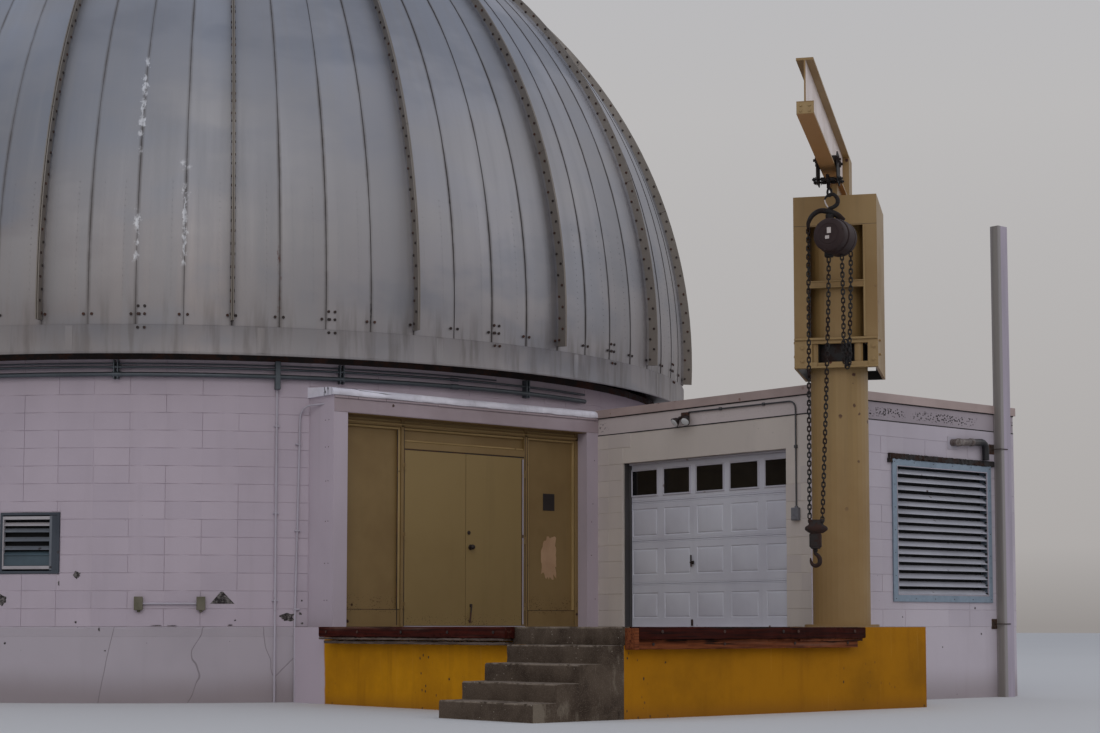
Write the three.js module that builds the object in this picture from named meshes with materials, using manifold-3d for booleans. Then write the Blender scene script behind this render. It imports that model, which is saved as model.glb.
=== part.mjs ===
// Observatory building: a ribbed metal dome turning on a round block wall, with an
// entrance portal, a square equipment room, a raised dock with steps and a jib crane.
// Millimetres, +Z up. The origin is on the dome's axis at ground level, the entrance
// looks along -Y and the equipment room stands on the +X side of it.
import * as THREE from 'three';
import { mergeVertices } from 'three/addons/utils/BufferGeometryUtils.js';
import Module from 'manifold-3d';

const wasm = await Module();
wasm.setup();

// Driving dimensions
const GAP = 0.3;                    // seat between pieces that touch
const FLOOR = 860;                  // floor and dock level above the ground, five risers
const COURSE = 203.2;               // one course of block with its joint
const WALL = 194;                   // thickness of a block wall

const WALL_R = 6520;                // drum wall, outside
const WALL_TOP = FLOOR + 15 * COURSE;
const LEDGE_R = 6545;               // edge of the ledge that carries the drum wall
const SLAB = 110;                   // thickness of the floor slab and the ledge
const PANELS = 80;                  // panels round the dome
const RIBS = 20;                    // flanged joints round the dome
const RIB_PHASE = 6.5;              // degrees, where the first flanged joint stands at rest

const DOME_R = 6870;                // skirt and panel foot
const SPHERE_R = 6854;              // dome sphere, outside
const SPHERE_Z = FLOOR + 3803;      // centre of the sphere
const SKIRT_BOTTOM = FLOOR + 3070;
const SKIRT_TOP = FLOOR + 3401;
const SHELL = 45;                   // dome shell with its stiffeners, as one thickness
const RIB_OUT = 150;                // how far a flanged joint stands out
const RIB_THICK = 36;
const CROWN_EL = 80;                // elevation where the panels meet the crown plate
const SHELL_ROWS = 10;

const SLIT_HALF = 1000;             // half width of the slit at the back
const SLIT_ANGLE = 45 + RIB_PHASE;  // its azimuth at rest, midway between two flanged joints
const SLIT_PAST = 600;              // how far the slit runs past the axis
const SLIT_RAIL = 80;

const ROLLER_R = 95;                // dome rollers on the wall's top ring
const RING_IN = WALL_R - WALL;
const RING_BASE = 90;               // ring beam depth on top of the wall

const PORTAL_Y = -6560;             // front plane of the portal
const PORTAL_X = [-2377, -2184, 1473, 1665]; // outer and inner faces of the two piers
const LINTEL = [2450, 2640];        // underside and top above the floor
const ROOF_EDGE = 90;
const SCREEN_Y = -6390;             // front face of the door screen
const SCREEN_DEPTH = 100;
const DOORS_X = [-1248, 582];       // the two leaves together
const DOOR_H = 2085;
const DOOR_T = 45;
const POST = 90;                    // face width of the screen's posts and rails

const DOCK_X = -2540;               // stair side of the dock
const DOCK_Y = -11600;              // front of the dock
const DOCK_RIGHT = 1870;
const TREAD = 276;
const RISERS = 5;
const STAIR_BACK = -10215;

const ROOM_X = [1665, 5440];        // garage wall and far side wall, outside
const ROOM_Y = -10155;              // louvre wall, outside
const ROOM_WALL_TOP = FLOOR + 2420;
const ROOM_ROOF = 220;
const ROOM_TOP = FLOOR + 2740;
const COPING_OUT = 25;              // overhang of the coping
const GARAGE_Y = [-9780, -7020];    // garage doorway
const GARAGE_H = 2040;
const LOUVRE_X = [3100, 4920];
const LOUVRE_Z = [FLOOR + 325, FLOOR + 1950];
const LOUVRE_BLADES = 16;

const WINDOW_ANGLE = -139.4;        // drum louvre, middle of its width
const WINDOW_W = 715;
const WINDOW_Z = [FLOOR + 600, FLOOR + 1300];

const MAST = { x: [5082, 5184], y: [-10283, -10181], top: FLOOR + 5000 };

const BOOM_ANGLE = 216.2;           // degrees from +X, boom direction at rest
const HEAD = { half: 440, front: 350, back: 780, z0: FLOOR + 2730, z1: FLOOR + 4578, t: 30 };
const PILLAR = { x: 1010, y: -11170, r: 305, top: HEAD.z1 - HEAD.t - GAP };
const BOOM = { top: FLOOR + 5239, h: 530, w: 160, web: 16, flange: 22, tip: 3300, tail: -1000 };
const TROLLEY_AT = 1050;            // trolley's distance from the pillar's axis at rest

const RAD = Math.PI / 180;

// Finishes
function paint(colour, roughness, metalness = 0) {
  return new THREE.MeshStandardMaterial({ color: colour, roughness, metalness });
}
const finish = {
  dome: paint(0x7a7573, 0.45, 0.8),
  block: paint(0x8a8289, 0.85),
  concrete: paint(0x5b534d, 0.95),
  membrane: paint(0xb4b2b8, 0.7),
  olive: paint(0x675537, 0.6, 0.1),
  ochre: paint(0xa8741c, 0.8),
  timber: paint(0x4f2a22, 0.85),
  brownTimber: paint(0x6b4a34, 0.85),
  garage: paint(0x7e8792, 0.55),
  glass: paint(0x101114, 0.15),
  zinc: paint(0x8b959c, 0.45, 0.7),
  steel: paint(0x3a3532, 0.6, 0.6),
  khaki: paint(0x7d6a49, 0.6, 0.2),
  coping: paint(0x97827c, 0.6, 0.3),
  white: paint(0xb9b7b9, 0.5),
};

// Solid helpers: boxes, prisms and turned pieces as geometries, joined or cut as solids
function box(x0, x1, y0, y1, z0, z1) {
  const geometry = new THREE.BoxGeometry(x1 - x0, y1 - y0, z1 - z0);
  return geometry.translate((x0 + x1) / 2, (y0 + y1) / 2, (z0 + z1) / 2);
}

function prism(points, z0, z1) {
  const shape = new THREE.Shape(points.map(([x, y]) => new THREE.Vector2(x, y)));
  const geometry = new THREE.ExtrudeGeometry(shape, { depth: z1 - z0, bevelEnabled: false });
  return geometry.translate(0, 0, z0);
}

// A prism drawn in X and Z and pushed along Y from y0 to y1
function sidePrism(points, y0, y1) {
  return prism(points, -y1, -y0).rotateX(Math.PI / 2);
}

// A prism drawn in Y and Z and pushed along X from x0 to x1
function crossPrism(points, x0, x1) {
  return prism(points, x0, x1).rotateY(Math.PI / 2).rotateX(Math.PI / 2);
}

function upright(radius, x, y, z0, z1, sides = 24) {
  const geometry = new THREE.CylinderGeometry(radius, radius, z1 - z0, sides).rotateX(Math.PI / 2);
  return geometry.translate(x, y, (z0 + z1) / 2);
}

// A round bar between two points
function bar(from, to, radius, sides = 8) {
  const a = new THREE.Vector3(...from);
  const b = new THREE.Vector3(...to);
  const axis = b.clone().sub(a);
  const geometry = new THREE.CylinderGeometry(radius, radius, axis.length(), sides);
  const turn = new THREE.Quaternion().setFromUnitVectors(new THREE.Vector3(0, 1, 0), axis.normalize());
  geometry.applyQuaternion(turn);
  const middle = a.add(b).multiplyScalar(0.5);
  return geometry.translate(middle.x, middle.y, middle.z);
}

function toManifold(geometry) {
  const bare = geometry.clone();
  bare.deleteAttribute('normal');
  bare.deleteAttribute('uv');
  const merged = mergeVertices(bare, 1e-3);
  return new wasm.Manifold(new wasm.Mesh({
    numProp: 3,
    vertProperties: new Float32Array(merged.attributes.position.array),
    triVerts: new Uint32Array(merged.index.array),
  }));
}

function toGeometry(solid) {
  const mesh = solid.getMesh();
  const geometry = new THREE.BufferGeometry();
  const places = [];
  for (let i = 0; i < mesh.vertProperties.length; i += mesh.numProp) {
    places.push(mesh.vertProperties[i], mesh.vertProperties[i + 1], mesh.vertProperties[i + 2]);
  }
  geometry.setAttribute('position', new THREE.Float32BufferAttribute(places, 3));
  geometry.setIndex(Array.from(mesh.triVerts));
  geometry.computeVertexNormals();
  return geometry;
}

function fuse(...geometries) {
  return toGeometry(geometries.map(toManifold).reduce((whole, piece) => whole.add(piece)));
}

function cut(geometry, ...tools) {
  return toGeometry(tools.map(toManifold).reduce((rest, tool) => rest.subtract(tool), toManifold(geometry)));
}

function polar(radius, degrees) {
  return [radius * Math.cos(degrees * RAD), radius * Math.sin(degrees * RAD)];
}

// A disc or ring with the same flats as the dome's panels, so that curved pieces match
function disc(radius, z0, z1) {
  const points = [];
  for (let i = 0; i < PANELS; i++) points.push(polar(radius, RIB_PHASE + i * 360 / PANELS));
  return prism(points, z0, z1);
}

// Distance from the axis to the flats of such a disc, at any angle
function flatRadius(radius, degrees) {
  const flat = 360 / PANELS;
  const fromVertex = (((degrees - RIB_PHASE) % flat) + flat) % flat;
  return radius * Math.cos(flat / 2 * RAD) / Math.cos((fromVertex - flat / 2) * RAD);
}

// A stretch of round wall from angle a0 to a1, on the same flats
function ringWall(r0, r1, a0, a1, z0, z1) {
  const flat = 360 / PANELS;
  const angles = [a0];
  let next = RIB_PHASE + (Math.floor((a0 - RIB_PHASE) / flat) + 1) * flat;
  for (; next < a1 - 1e-6; next += flat) if (next > a0 + 1e-6) angles.push(next);
  angles.push(a1);
  const outside = angles.map((angle) => polar(flatRadius(r1, angle), angle));
  const inside = angles.map((angle) => polar(flatRadius(r0, angle), angle)).reverse();
  return prism([...outside, ...inside], z0, z1);
}

// A closed ring turned from a profile of radius and height
function turned(profile, sides, phase = 0) {
  const points = profile.map(([r, z]) => new THREE.Vector2(r, z));
  points.push(points[0].clone());
  const geometry = new THREE.LatheGeometry(points, sides);
  return geometry.rotateX(Math.PI / 2).rotateZ(phase * RAD);
}

const model = new THREE.Group();

function add(parent, name, geometry, material) {
  const mesh = new THREE.Mesh(geometry, material);
  mesh.name = name;
  parent.add(mesh);
  return mesh;
}

// Foundation, floor slab and the round block wall
const building = new THREE.Group();
model.add(building);

const slabBottom = FLOOR - SLAB;
const pastWall = WALL_R + GAP;      // what stands against the drum wall is cut to this
add(building, 'foundation', disc(WALL_R, 0, slabBottom - GAP), finish.block);
add(building, 'floor_slab', disc(RING_IN - GAP, slabBottom, FLOOR), finish.concrete);
add(building, 'floor_ledge', cut(disc(LEDGE_R, slabBottom, FLOOR), disc(RING_IN, 0, FLOOR + 50)),
  finish.block);

const drumCore = disc(pastWall + 25, -10, FLOOR + 20);
const drumOutside = disc(pastWall, FLOOR - 20, WALL_TOP + 200);
const pier = { left: PORTAL_X[0] - GAP, right: PORTAL_X[3] + GAP };
const leftEnd = -90 - Math.asin(-pier.left / WALL_R) / RAD;     // drum wall's ends at the portal
const rightEnd = -90 + Math.asin(pier.right / WALL_R) / RAD;
const portalCut = box(pier.left, pier.right, -9000, -3000, 0, 9000);
const windowCut = box(-WINDOW_W / 2, WINDOW_W / 2, -7500, -5500, WINDOW_Z[0], WINDOW_Z[1]);
windowCut.rotateZ((WINDOW_ANGLE + 90) * RAD);

const drumSegments = 5;
const drumSweep = (360 - (rightEnd - leftEnd) + 8) / drumSegments;
for (let i = 0; i < drumSegments; i++) {
  const start = rightEnd - 4 + i * drumSweep;
  const wall = ringWall(RING_IN, WALL_R, start, start + drumSweep - 0.004, FLOOR + GAP, WALL_TOP);
  const cuts = [portalCut];
  const windowAt = WINDOW_ANGLE + 360;
  if (windowAt > start && windowAt < start + drumSweep) cuts.push(windowCut);
  add(building, `drum_wall_${i + 1}`, cut(wall, ...cuts), finish.block);
}
const header = ringWall(RING_IN, WALL_R, leftEnd - 2, rightEnd + 2, FLOOR + LINTEL[0] + GAP, WALL_TOP);
const headerSpan = box(pier.left + 2 * GAP, pier.right - 2 * GAP, -9000, -3000, 0, 9000);
add(building, 'drum_header', toGeometry(toManifold(header).intersect(toManifold(headerSpan))), finish.block);

// Drum window: a deep steel box frame with slats above a plain panel
const frameIn = 40;
const windowFrame = fuse(
  cut(
    box(-WINDOW_W / 2 + GAP, WINDOW_W / 2 - GAP, -WALL_R - 60, -WALL_R + WALL,
      WINDOW_Z[0] + GAP, WINDOW_Z[1] - GAP),
    box(-WINDOW_W / 2 + frameIn, WINDOW_W / 2 - frameIn, -WALL_R - 100, -WALL_R + 400,
      WINDOW_Z[0] + frameIn, WINDOW_Z[1] - frameIn),
  ),
  ...Array.from({ length: 6 }, (_, i) => {
    const slat = box(-WINDOW_W / 2 + frameIn - 5, WINDOW_W / 2 - frameIn + 5, -50, 50, -4, 4);
    slat.rotateX(-0.65);
    return slat.translate(0, -WALL_R + 20, WINDOW_Z[1] - 85 - i * 82);
  }),
  box(-WINDOW_W / 2 + frameIn - 5, WINDOW_W / 2 - frameIn + 5, -WALL_R - 20, -WALL_R + 10,
    WINDOW_Z[0] + frameIn - 5, WINDOW_Z[0] + 165),
);
windowFrame.rotateZ((WINDOW_ANGLE + 90) * RAD);
add(building, 'drum_louvre', windowFrame, finish.steel);

// Top ring with the rollers that carry the dome
const ringTop = WALL_TOP + GAP + RING_BASE;
const rollerTop = ringTop + 150;
const ringMiddle = (RING_IN + WALL_R) / 2;
const rollers = [];
for (let i = 0; i < RIBS; i++) {
  const angle = RIB_PHASE + 9 + i * 360 / RIBS;
  const bracket = box(ringMiddle - 70, ringMiddle + 70, -45, 45, ringTop - 10, rollerTop - 40);
  const wheel = new THREE.CylinderGeometry(ROLLER_R, ROLLER_R, 60, 8, 1);
  const flatTop = ROLLER_R * Math.cos(Math.PI / 8);
  wheel.rotateY(Math.PI / 8).rotateZ(Math.PI / 2).translate(ringMiddle, 0, rollerTop - flatTop);
  rollers.push(fuse(bracket, wheel).rotateZ(angle * RAD));
}
const topRing = turned([[RING_IN, WALL_TOP + GAP], [WALL_R, WALL_TOP + GAP], [WALL_R, ringTop],
  [RING_IN, ringTop]], RIBS * 2, RIB_PHASE);
add(building, 'roller_ring', fuse(topRing, ...rollers), finish.steel);

// Two conduits clamped round the drum under the skirt
const conduitSpan = [-208, -76];
const conduits = [
  { r: WALL_R + 55, z: FLOOR + 2953, tube: 14 },
  { r: WALL_R + 62, z: FLOOR + 2868, tube: 27 },
];
function roundPipe(radius, height, tube, a0, a1) {
  const sides = 6;
  const steps = Math.round((a1 - a0) / 9);
  const positions = [];
  const faces = [];
  for (let i = 0; i <= steps; i++) {
    const angle = a0 + (a1 - a0) * i / steps;
    for (let k = 0; k < sides; k++) {
      const turn = k * 2 * Math.PI / sides;
      const [x, y] = polar(radius + tube * Math.cos(turn), angle);
      positions.push(x, y, height + tube * Math.sin(turn));
    }
  }
  for (let i = 0; i < steps; i++) {
    for (let k = 0; k < sides; k++) {
      const a = i * sides + k;
      const b = i * sides + (k + 1) % sides;
      faces.push(a, a + sides, b, b, a + sides, b + sides);
    }
  }
  for (let k = 1; k < sides - 1; k++) {
    faces.push(0, k, k + 1);
    const last = steps * sides;
    faces.push(last, last + k + 1, last + k);
  }
  const geometry = new THREE.BufferGeometry();
  geometry.setAttribute('position', new THREE.Float32BufferAttribute(positions, 3));
  geometry.setIndex(faces);
  return geometry;
}
const clamps = [];
const wallFlat = WALL_R * Math.cos(Math.PI / PANELS) + GAP;
for (let k = -46; k <= -21; k += 5) {
  const strut = box(wallFlat, WALL_R + 62, -21, 21, FLOOR + 2830, FLOOR + 3000);
  clamps.push(strut.rotateZ((RIB_PHASE + (k + 0.5) * 360 / PANELS) * RAD));
}
add(building, 'conduit_lines', fuse(
  ...conduits.map((c) => roundPipe(c.r, c.z, c.tube, conduitSpan[0], conduitSpan[1])), ...clamps,
), finish.zinc);

// Portal: two piers, a lintel and a thin roof running back to the drum
add(building, 'portal_left_pier',
  box(PORTAL_X[0], PORTAL_X[1], PORTAL_Y, PORTAL_Y + 600, FLOOR + GAP, FLOOR + LINTEL[0]), finish.block);
add(building, 'portal_right_pier',
  box(PORTAL_X[2], PORTAL_X[3], PORTAL_Y, PORTAL_Y + 420, FLOOR + GAP, FLOOR + LINTEL[0]), finish.block);
add(building, 'portal_lintel', cut(
  box(PORTAL_X[0], PORTAL_X[3], PORTAL_Y, -5900, FLOOR + LINTEL[0] + GAP, FLOOR + LINTEL[1]),
  disc(pastWall, 0, 9000),
), finish.block);
const roofFront = PORTAL_Y - 30;
const roofBack = -5800;
const roofRise = 50;
add(building, 'portal_roof', cut(
  crossPrism([[roofFront, FLOOR + LINTEL[1] + GAP], [roofFront, FLOOR + LINTEL[1] + ROOF_EDGE],
    [roofBack, FLOOR + LINTEL[1] + ROOF_EDGE + roofRise], [roofBack, FLOOR + LINTEL[1] + GAP]],
  PORTAL_X[0] + roofFront - PORTAL_Y, ROOM_X[0] - COPING_OUT - GAP),
  disc(pastWall, 0, 9000),
), finish.membrane);

// Door screen: posts, head rail and sill rail with fixed panels, and two leaves
const screenBack = SCREEN_Y + SCREEN_DEPTH;
const screenTop = FLOOR + LINTEL[0] - GAP;
const screenSides = [PORTAL_X[1] + GAP, PORTAL_X[2] - GAP];
const headRail = [FLOOR + DOOR_H + 15, FLOOR + DOOR_H + 15 + POST];
const posts = [
  [screenSides[0], screenSides[0] + 60],
  [DOORS_X[0] - 5 - POST, DOORS_X[0] - 5],
  [DOORS_X[1] + 5, DOORS_X[1] + 5 + POST],
  [screenSides[1] - 60, screenSides[1]],
];
const panelY = [SCREEN_Y + 30, SCREEN_Y + 60];
const hinge = { y: SCREEN_Y - 9, r: 8, h: 45, levels: [FLOOR + 200, FLOOR + 1020, FLOOR + 1840] };
const hingeX = [DOORS_X[0] - 2.5, DOORS_X[1] + 2.5];

// One knuckle of each hinge with its plate, on the side given by plate (-1 or +1)
function knuckles(x, plate, lift) {
  return hinge.levels.flatMap((z) => [
    upright(hinge.r, x, hinge.y, z + lift, z + lift + hinge.h, 12),
    box(Math.min(x, x + plate * 40), Math.max(x, x + plate * 40), SCREEN_Y - 5, SCREEN_Y + 2,
      z + lift, z + lift + hinge.h),
  ]);
}
add(building, 'door_screen', fuse(
  ...posts.map(([a, b]) => box(a, b, SCREEN_Y, screenBack, FLOOR + GAP, screenTop)),
  box(screenSides[0], screenSides[1], SCREEN_Y, screenBack, headRail[0], headRail[1]),
  box(screenSides[0], screenSides[1], SCREEN_Y, screenBack, screenTop - 50, screenTop),
  box(posts[0][0] + 10, posts[1][0] + 10, SCREEN_Y, screenBack, FLOOR + GAP, FLOOR + 120),
  box(posts[2][1] - 10, posts[3][1] - 10, SCREEN_Y, screenBack, FLOOR + GAP, FLOOR + 120),
  box(posts[0][0] + 10, posts[1][0] + 10, panelY[0], panelY[1], FLOOR + 100, screenTop - 10),
  box(posts[2][1] - 10, posts[3][1] - 10, panelY[0], panelY[1], FLOOR + 100, screenTop - 10),
  box(posts[1][0] + 10, posts[2][1] - 10, panelY[0], panelY[1], headRail[1] - 10, screenTop - 10),
  ...knuckles(hingeX[0], -1, hinge.h + GAP),
  ...knuckles(hingeX[1], 1, hinge.h + GAP),
), finish.olive);

const meeting = (DOORS_X[0] + DOORS_X[1]) / 2;
const leafZ = [FLOOR + 12, FLOOR + DOOR_H];
const knobZ = FLOOR + 960;
const leftDoor = new THREE.Group();
model.add(leftDoor);
add(leftDoor, 'left_door', fuse(
  box(DOORS_X[0], meeting - 3, SCREEN_Y, SCREEN_Y + DOOR_T, leafZ[0], leafZ[1]),
  ...knuckles(hingeX[0], 1, 0),
), finish.olive);
const rightDoor = new THREE.Group();
model.add(rightDoor);
add(rightDoor, 'right_door', fuse(
  box(meeting + 3, DOORS_X[1], SCREEN_Y, SCREEN_Y + DOOR_T, leafZ[0], leafZ[1]),
  ...knuckles(hingeX[1], -1, 0),
  bar([meeting + 70, SCREEN_Y + 5, knobZ], [meeting + 70, SCREEN_Y - 60, knobZ], 12, 10),
  bar([meeting + 70, SCREEN_Y - 35, knobZ], [meeting + 70, SCREEN_Y - 75, knobZ], 30, 12),
  bar([meeting + 60, SCREEN_Y - 15, FLOOR + 80], [meeting + 60, SCREEN_Y - 15, FLOOR + 300], 9, 8),
  box(meeting + 45, meeting + 75, SCREEN_Y - 22, SCREEN_Y + 5, FLOOR + 110, FLOOR + 140),
  box(meeting + 45, meeting + 75, SCREEN_Y - 22, SCREEN_Y + 5, FLOOR + 240, FLOOR + 270),
), finish.olive);

// Dock: one mass up to the portal and the garage wall, with timber bumpers and steps
add(building, 'dock', cut(
  prism([[DOCK_X, DOCK_Y], [DOCK_RIGHT, DOCK_Y], [DOCK_RIGHT, ROOM_Y - GAP],
    [ROOM_X[0] - GAP, ROOM_Y - GAP], [ROOM_X[0] - GAP, -5900], [DOCK_X, -5900]], 0, FLOOR),
  drumCore,
), finish.ochre);
add(building, 'side_bumper', fuse(
  box(DOCK_X - 150, DOCK_X - GAP, -10020, -6750, FLOOR - 138, FLOOR),
  box(DOCK_X - 60, DOCK_X - GAP, -10000, -6810, FLOOR - 187, FLOOR - 130),
), finish.timber);
add(building, 'front_bumper_upper',
  box(-2500, 730, DOCK_Y - 140, DOCK_Y - GAP, FLOOR - 115, FLOOR), finish.timber);
add(building, 'front_bumper_lower',
  box(-2530, 660, DOCK_Y - 90, DOCK_Y - GAP, FLOOR - 212, FLOOR - 115 - GAP), finish.brownTimber);

const riser = FLOOR / RISERS;
const stairOutline = [[DOCK_X - GAP, 0]];
for (let i = RISERS - 1; i >= 1; i--) {
  const level = i * riser;
  const nose = DOCK_X - GAP - (RISERS - i) * TREAD;
  if (i === RISERS - 1) stairOutline.push([DOCK_X - GAP, level]);
  stairOutline.push([nose, level], [nose, level - riser]);
}
add(building, 'steps', sidePrism(stairOutline, DOCK_Y, STAIR_BACK), finish.concrete);

// Equipment room: base, walls split round the garage doorway, roof and coping
const roomBack = -3000;             // hidden behind the drum, which cuts the room off
const roomOutline = [[ROOM_X[0] + GAP, ROOM_Y], [ROOM_X[1], ROOM_Y], [ROOM_X[1], roomBack],
  [ROOM_X[0] + GAP, roomBack]];
add(building, 'room_base', cut(prism(roomOutline, 0, FLOOR), drumCore), finish.block);
const roomZ = [FLOOR + GAP, ROOM_WALL_TOP];
const garageWall = [ROOM_X[0] + GAP, ROOM_X[0] + WALL];
add(building, 'garage_wall_near', cut(
  box(garageWall[0], garageWall[1], GARAGE_Y[1], -6100, roomZ[0], roomZ[1]), drumOutside,
), finish.block);
add(building, 'garage_wall_far',
  box(garageWall[0], garageWall[1], ROOM_Y, GARAGE_Y[0], roomZ[0], roomZ[1]), finish.block);
add(building, 'garage_wall_header',
  box(garageWall[0], garageWall[1], GARAGE_Y[0] + GAP, GARAGE_Y[1] - GAP, FLOOR + GARAGE_H, roomZ[1]),
  finish.block);
add(building, 'louvre_wall', cut(
  box(garageWall[1] + GAP, ROOM_X[1], ROOM_Y, ROOM_Y + WALL, roomZ[0], roomZ[1]),
  box(LOUVRE_X[0], LOUVRE_X[1], ROOM_Y - 50, ROOM_Y + WALL + 50, LOUVRE_Z[0], LOUVRE_Z[1]),
), finish.block);
add(building, 'room_side_wall', cut(
  box(ROOM_X[1] - WALL, ROOM_X[1], ROOM_Y + WALL + GAP, -3300, roomZ[0], roomZ[1]), drumOutside,
), finish.block);
add(building, 'room_roof', cut(
  prism(roomOutline, ROOM_WALL_TOP + GAP, ROOM_WALL_TOP + ROOM_ROOF), drumOutside,
), finish.block);

const copingWidth = 250;
add(building, 'room_coping', cut(
  prism([[ROOM_X[0] - COPING_OUT, ROOM_Y - COPING_OUT], [ROOM_X[1] + COPING_OUT, ROOM_Y - COPING_OUT],
    [ROOM_X[1] + COPING_OUT, roomBack], [ROOM_X[0] - COPING_OUT, roomBack]],
  ROOM_WALL_TOP + ROOM_ROOF + GAP, ROOM_TOP),
  box(ROOM_X[0] + copingWidth, ROOM_X[1] - copingWidth, ROOM_Y + copingWidth, -2000, 0, 9000),
  drumOutside,
), finish.coping);

// Sectional garage door with raised panels and a row of small windows
const garageX = [ROOM_X[0] + 130, ROOM_X[0] + 175];
const garageSpan = GARAGE_Y[1] - GARAGE_Y[0];
const panelPitch = garageSpan / 5;
const sectionH = GARAGE_H / 4;
const raised = [];
const panes = [];
for (let column = 0; column < 5; column++) {
  const y0 = GARAGE_Y[0] + column * panelPitch + 70;
  const y1 = y0 + panelPitch - 140;
  for (let row = 0; row < 3; row++) {
    const z0 = FLOOR + 25 + row * sectionH + 95;
    raised.push(box(garageX[0] - 12, garageX[0] + 5, y0, y1, z0, z0 + sectionH - 190));
  }
  const z0 = FLOOR + 3 * sectionH + 110;
  panes.push(box(garageX[0] - 50, garageX[1] + 50, y0 + 20, y1 - 20, z0, z0 + sectionH - 210));
}
add(building, 'garage_door', cut(fuse(
  box(garageX[0], garageX[1], GARAGE_Y[0] + 4, GARAGE_Y[1] - 4, FLOOR + GAP, FLOOR + GARAGE_H - 4),
  ...raised,
), ...panes), finish.garage);
add(building, 'garage_door_glass',
  box(garageX[1] + GAP, garageX[1] + 6, GARAGE_Y[0] + 60, GARAGE_Y[1] - 60,
    FLOOR + 3 * sectionH + 80, FLOOR + 4 * sectionH - 70), finish.glass);

// Louvre in the front wall of the room
const louvreFrame = 55;
const louvreY = [ROOM_Y - 25, ROOM_Y + 110];
const bladePitch = (LOUVRE_Z[1] - LOUVRE_Z[0] - 2 * louvreFrame) / LOUVRE_BLADES;
const blades = Array.from({ length: LOUVRE_BLADES }, (_, i) => {
  const blade = box(LOUVRE_X[0] + louvreFrame - 5, LOUVRE_X[1] - louvreFrame + 5, -62, 62, -3, 3);
  blade.rotateX(-0.72);
  return blade.translate(0, ROOM_Y + 40, LOUVRE_Z[0] + louvreFrame + (i + 0.5) * bladePitch);
});
add(building, 'wall_louvre', fuse(
  cut(
    fuse(
      box(LOUVRE_X[0] + GAP, LOUVRE_X[1] - GAP, ROOM_Y - 20, louvreY[1], LOUVRE_Z[0] + GAP,
        LOUVRE_Z[1] - GAP),
      box(LOUVRE_X[0] - 30, LOUVRE_X[1] + 30, louvreY[0], ROOM_Y - GAP, LOUVRE_Z[0] - 30,
        LOUVRE_Z[1] + 30),
    ),
    box(LOUVRE_X[0] + louvreFrame, LOUVRE_X[1] - louvreFrame, ROOM_Y - 100, ROOM_Y + 300,
      LOUVRE_Z[0] + louvreFrame, LOUVRE_Z[1] - louvreFrame),
  ),
  ...blades,
), finish.zinc);

// Fittings on the room: floodlight, switch box, vent pipe and the post before the far corner
const flood = { y: -8050, z: FLOOR + 2480, arm: 150, lamp: 60, out: 170, drop: 55 };
const lampBase = ROOM_X[0] - 40;
function lamp(side) {
  return bar([ROOM_X[0] - 30, flood.y + side * flood.arm, flood.z - 5],
    [ROOM_X[0] - flood.out, flood.y + side * (flood.arm + 40), flood.z - flood.drop], flood.lamp, 12);
}
add(building, 'floodlight', fuse(
  box(ROOM_X[0] - 60, ROOM_X[0], flood.y - 60, flood.y + 60, flood.z - 50, flood.z + 50),
  bar([lampBase, flood.y - flood.arm, flood.z], [lampBase, flood.y + flood.arm, flood.z], 14),
  lamp(-1),
  lamp(1),
), finish.white);
const switchBox = { y: -9960, z: FLOOR + 1270, half: 40, tall: 60, deep: 55, pipe: 13 };
add(building, 'switch_box', fuse(
  box(ROOM_X[0] - switchBox.deep, ROOM_X[0], switchBox.y - switchBox.half, switchBox.y + switchBox.half,
    switchBox.z - switchBox.tall, switchBox.z + switchBox.tall),
  bar([ROOM_X[0] - 20, switchBox.y, switchBox.z + 50], [ROOM_X[0] - 20, switchBox.y, flood.z - 150],
    switchBox.pipe),
), finish.zinc);
const vent = { x: [4030, 4785], y: ROOM_Y - 62, z: FLOOR + 2240, r: 43, plate: 90, drop: 190 };
add(building, 'vent_pipe', fuse(
  box(vent.x[0] - vent.plate, vent.x[0] + vent.plate, ROOM_Y - 12, ROOM_Y - GAP, vent.z - vent.plate,
    vent.z + vent.plate),
  bar([vent.x[0], ROOM_Y - 5, vent.z], [vent.x[0], vent.y, vent.z], vent.r, 12),
  bar([vent.x[0] - vent.r, vent.y, vent.z], [vent.x[1] + vent.r, vent.y, vent.z + 40], vent.r, 12),
  upright(vent.r, vent.x[1], vent.y, vent.z - vent.drop, vent.z + 40, 12),
), finish.steel);
const strap = { reach: 45, tall: 40, levels: [FLOOR + 40, FLOOR + 2080] };
add(building, 'corner_post', fuse(
  box(MAST.x[0], MAST.x[1], MAST.y[0], MAST.y[1], 0, MAST.top),
  ...strap.levels.map((z) => box(MAST.x[0] - strap.reach, MAST.x[1] + strap.reach, MAST.y[1] - 5,
    ROOM_Y - GAP, z, z + strap.tall)),
), finish.white);

// Jib crane pillar standing on the dock
add(building, 'crane_pillar', fuse(
  upright(PILLAR.r, PILLAR.x, PILLAR.y, FLOOR + GAP, PILLAR.top, 32),
  upright(PILLAR.r + 90, PILLAR.x, PILLAR.y, FLOOR + GAP, FLOOR + 25, 32),
), finish.khaki);

// Rotating head and boom, drawn along +X from the pillar's axis and turned to rest
const jib = new THREE.Group();
jib.position.set(PILLAR.x, PILLAR.y, 0);
jib.rotation.z = BOOM_ANGLE * RAD;
model.add(jib);

const bore = PILLAR.r + 8;
const headPlate = (z, thick, from, to, half) => cut(
  box(from, to, -half, half, z, z + thick),
  upright(bore, 0, 0, z - 50, z + thick + 50, 32),
);

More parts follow.
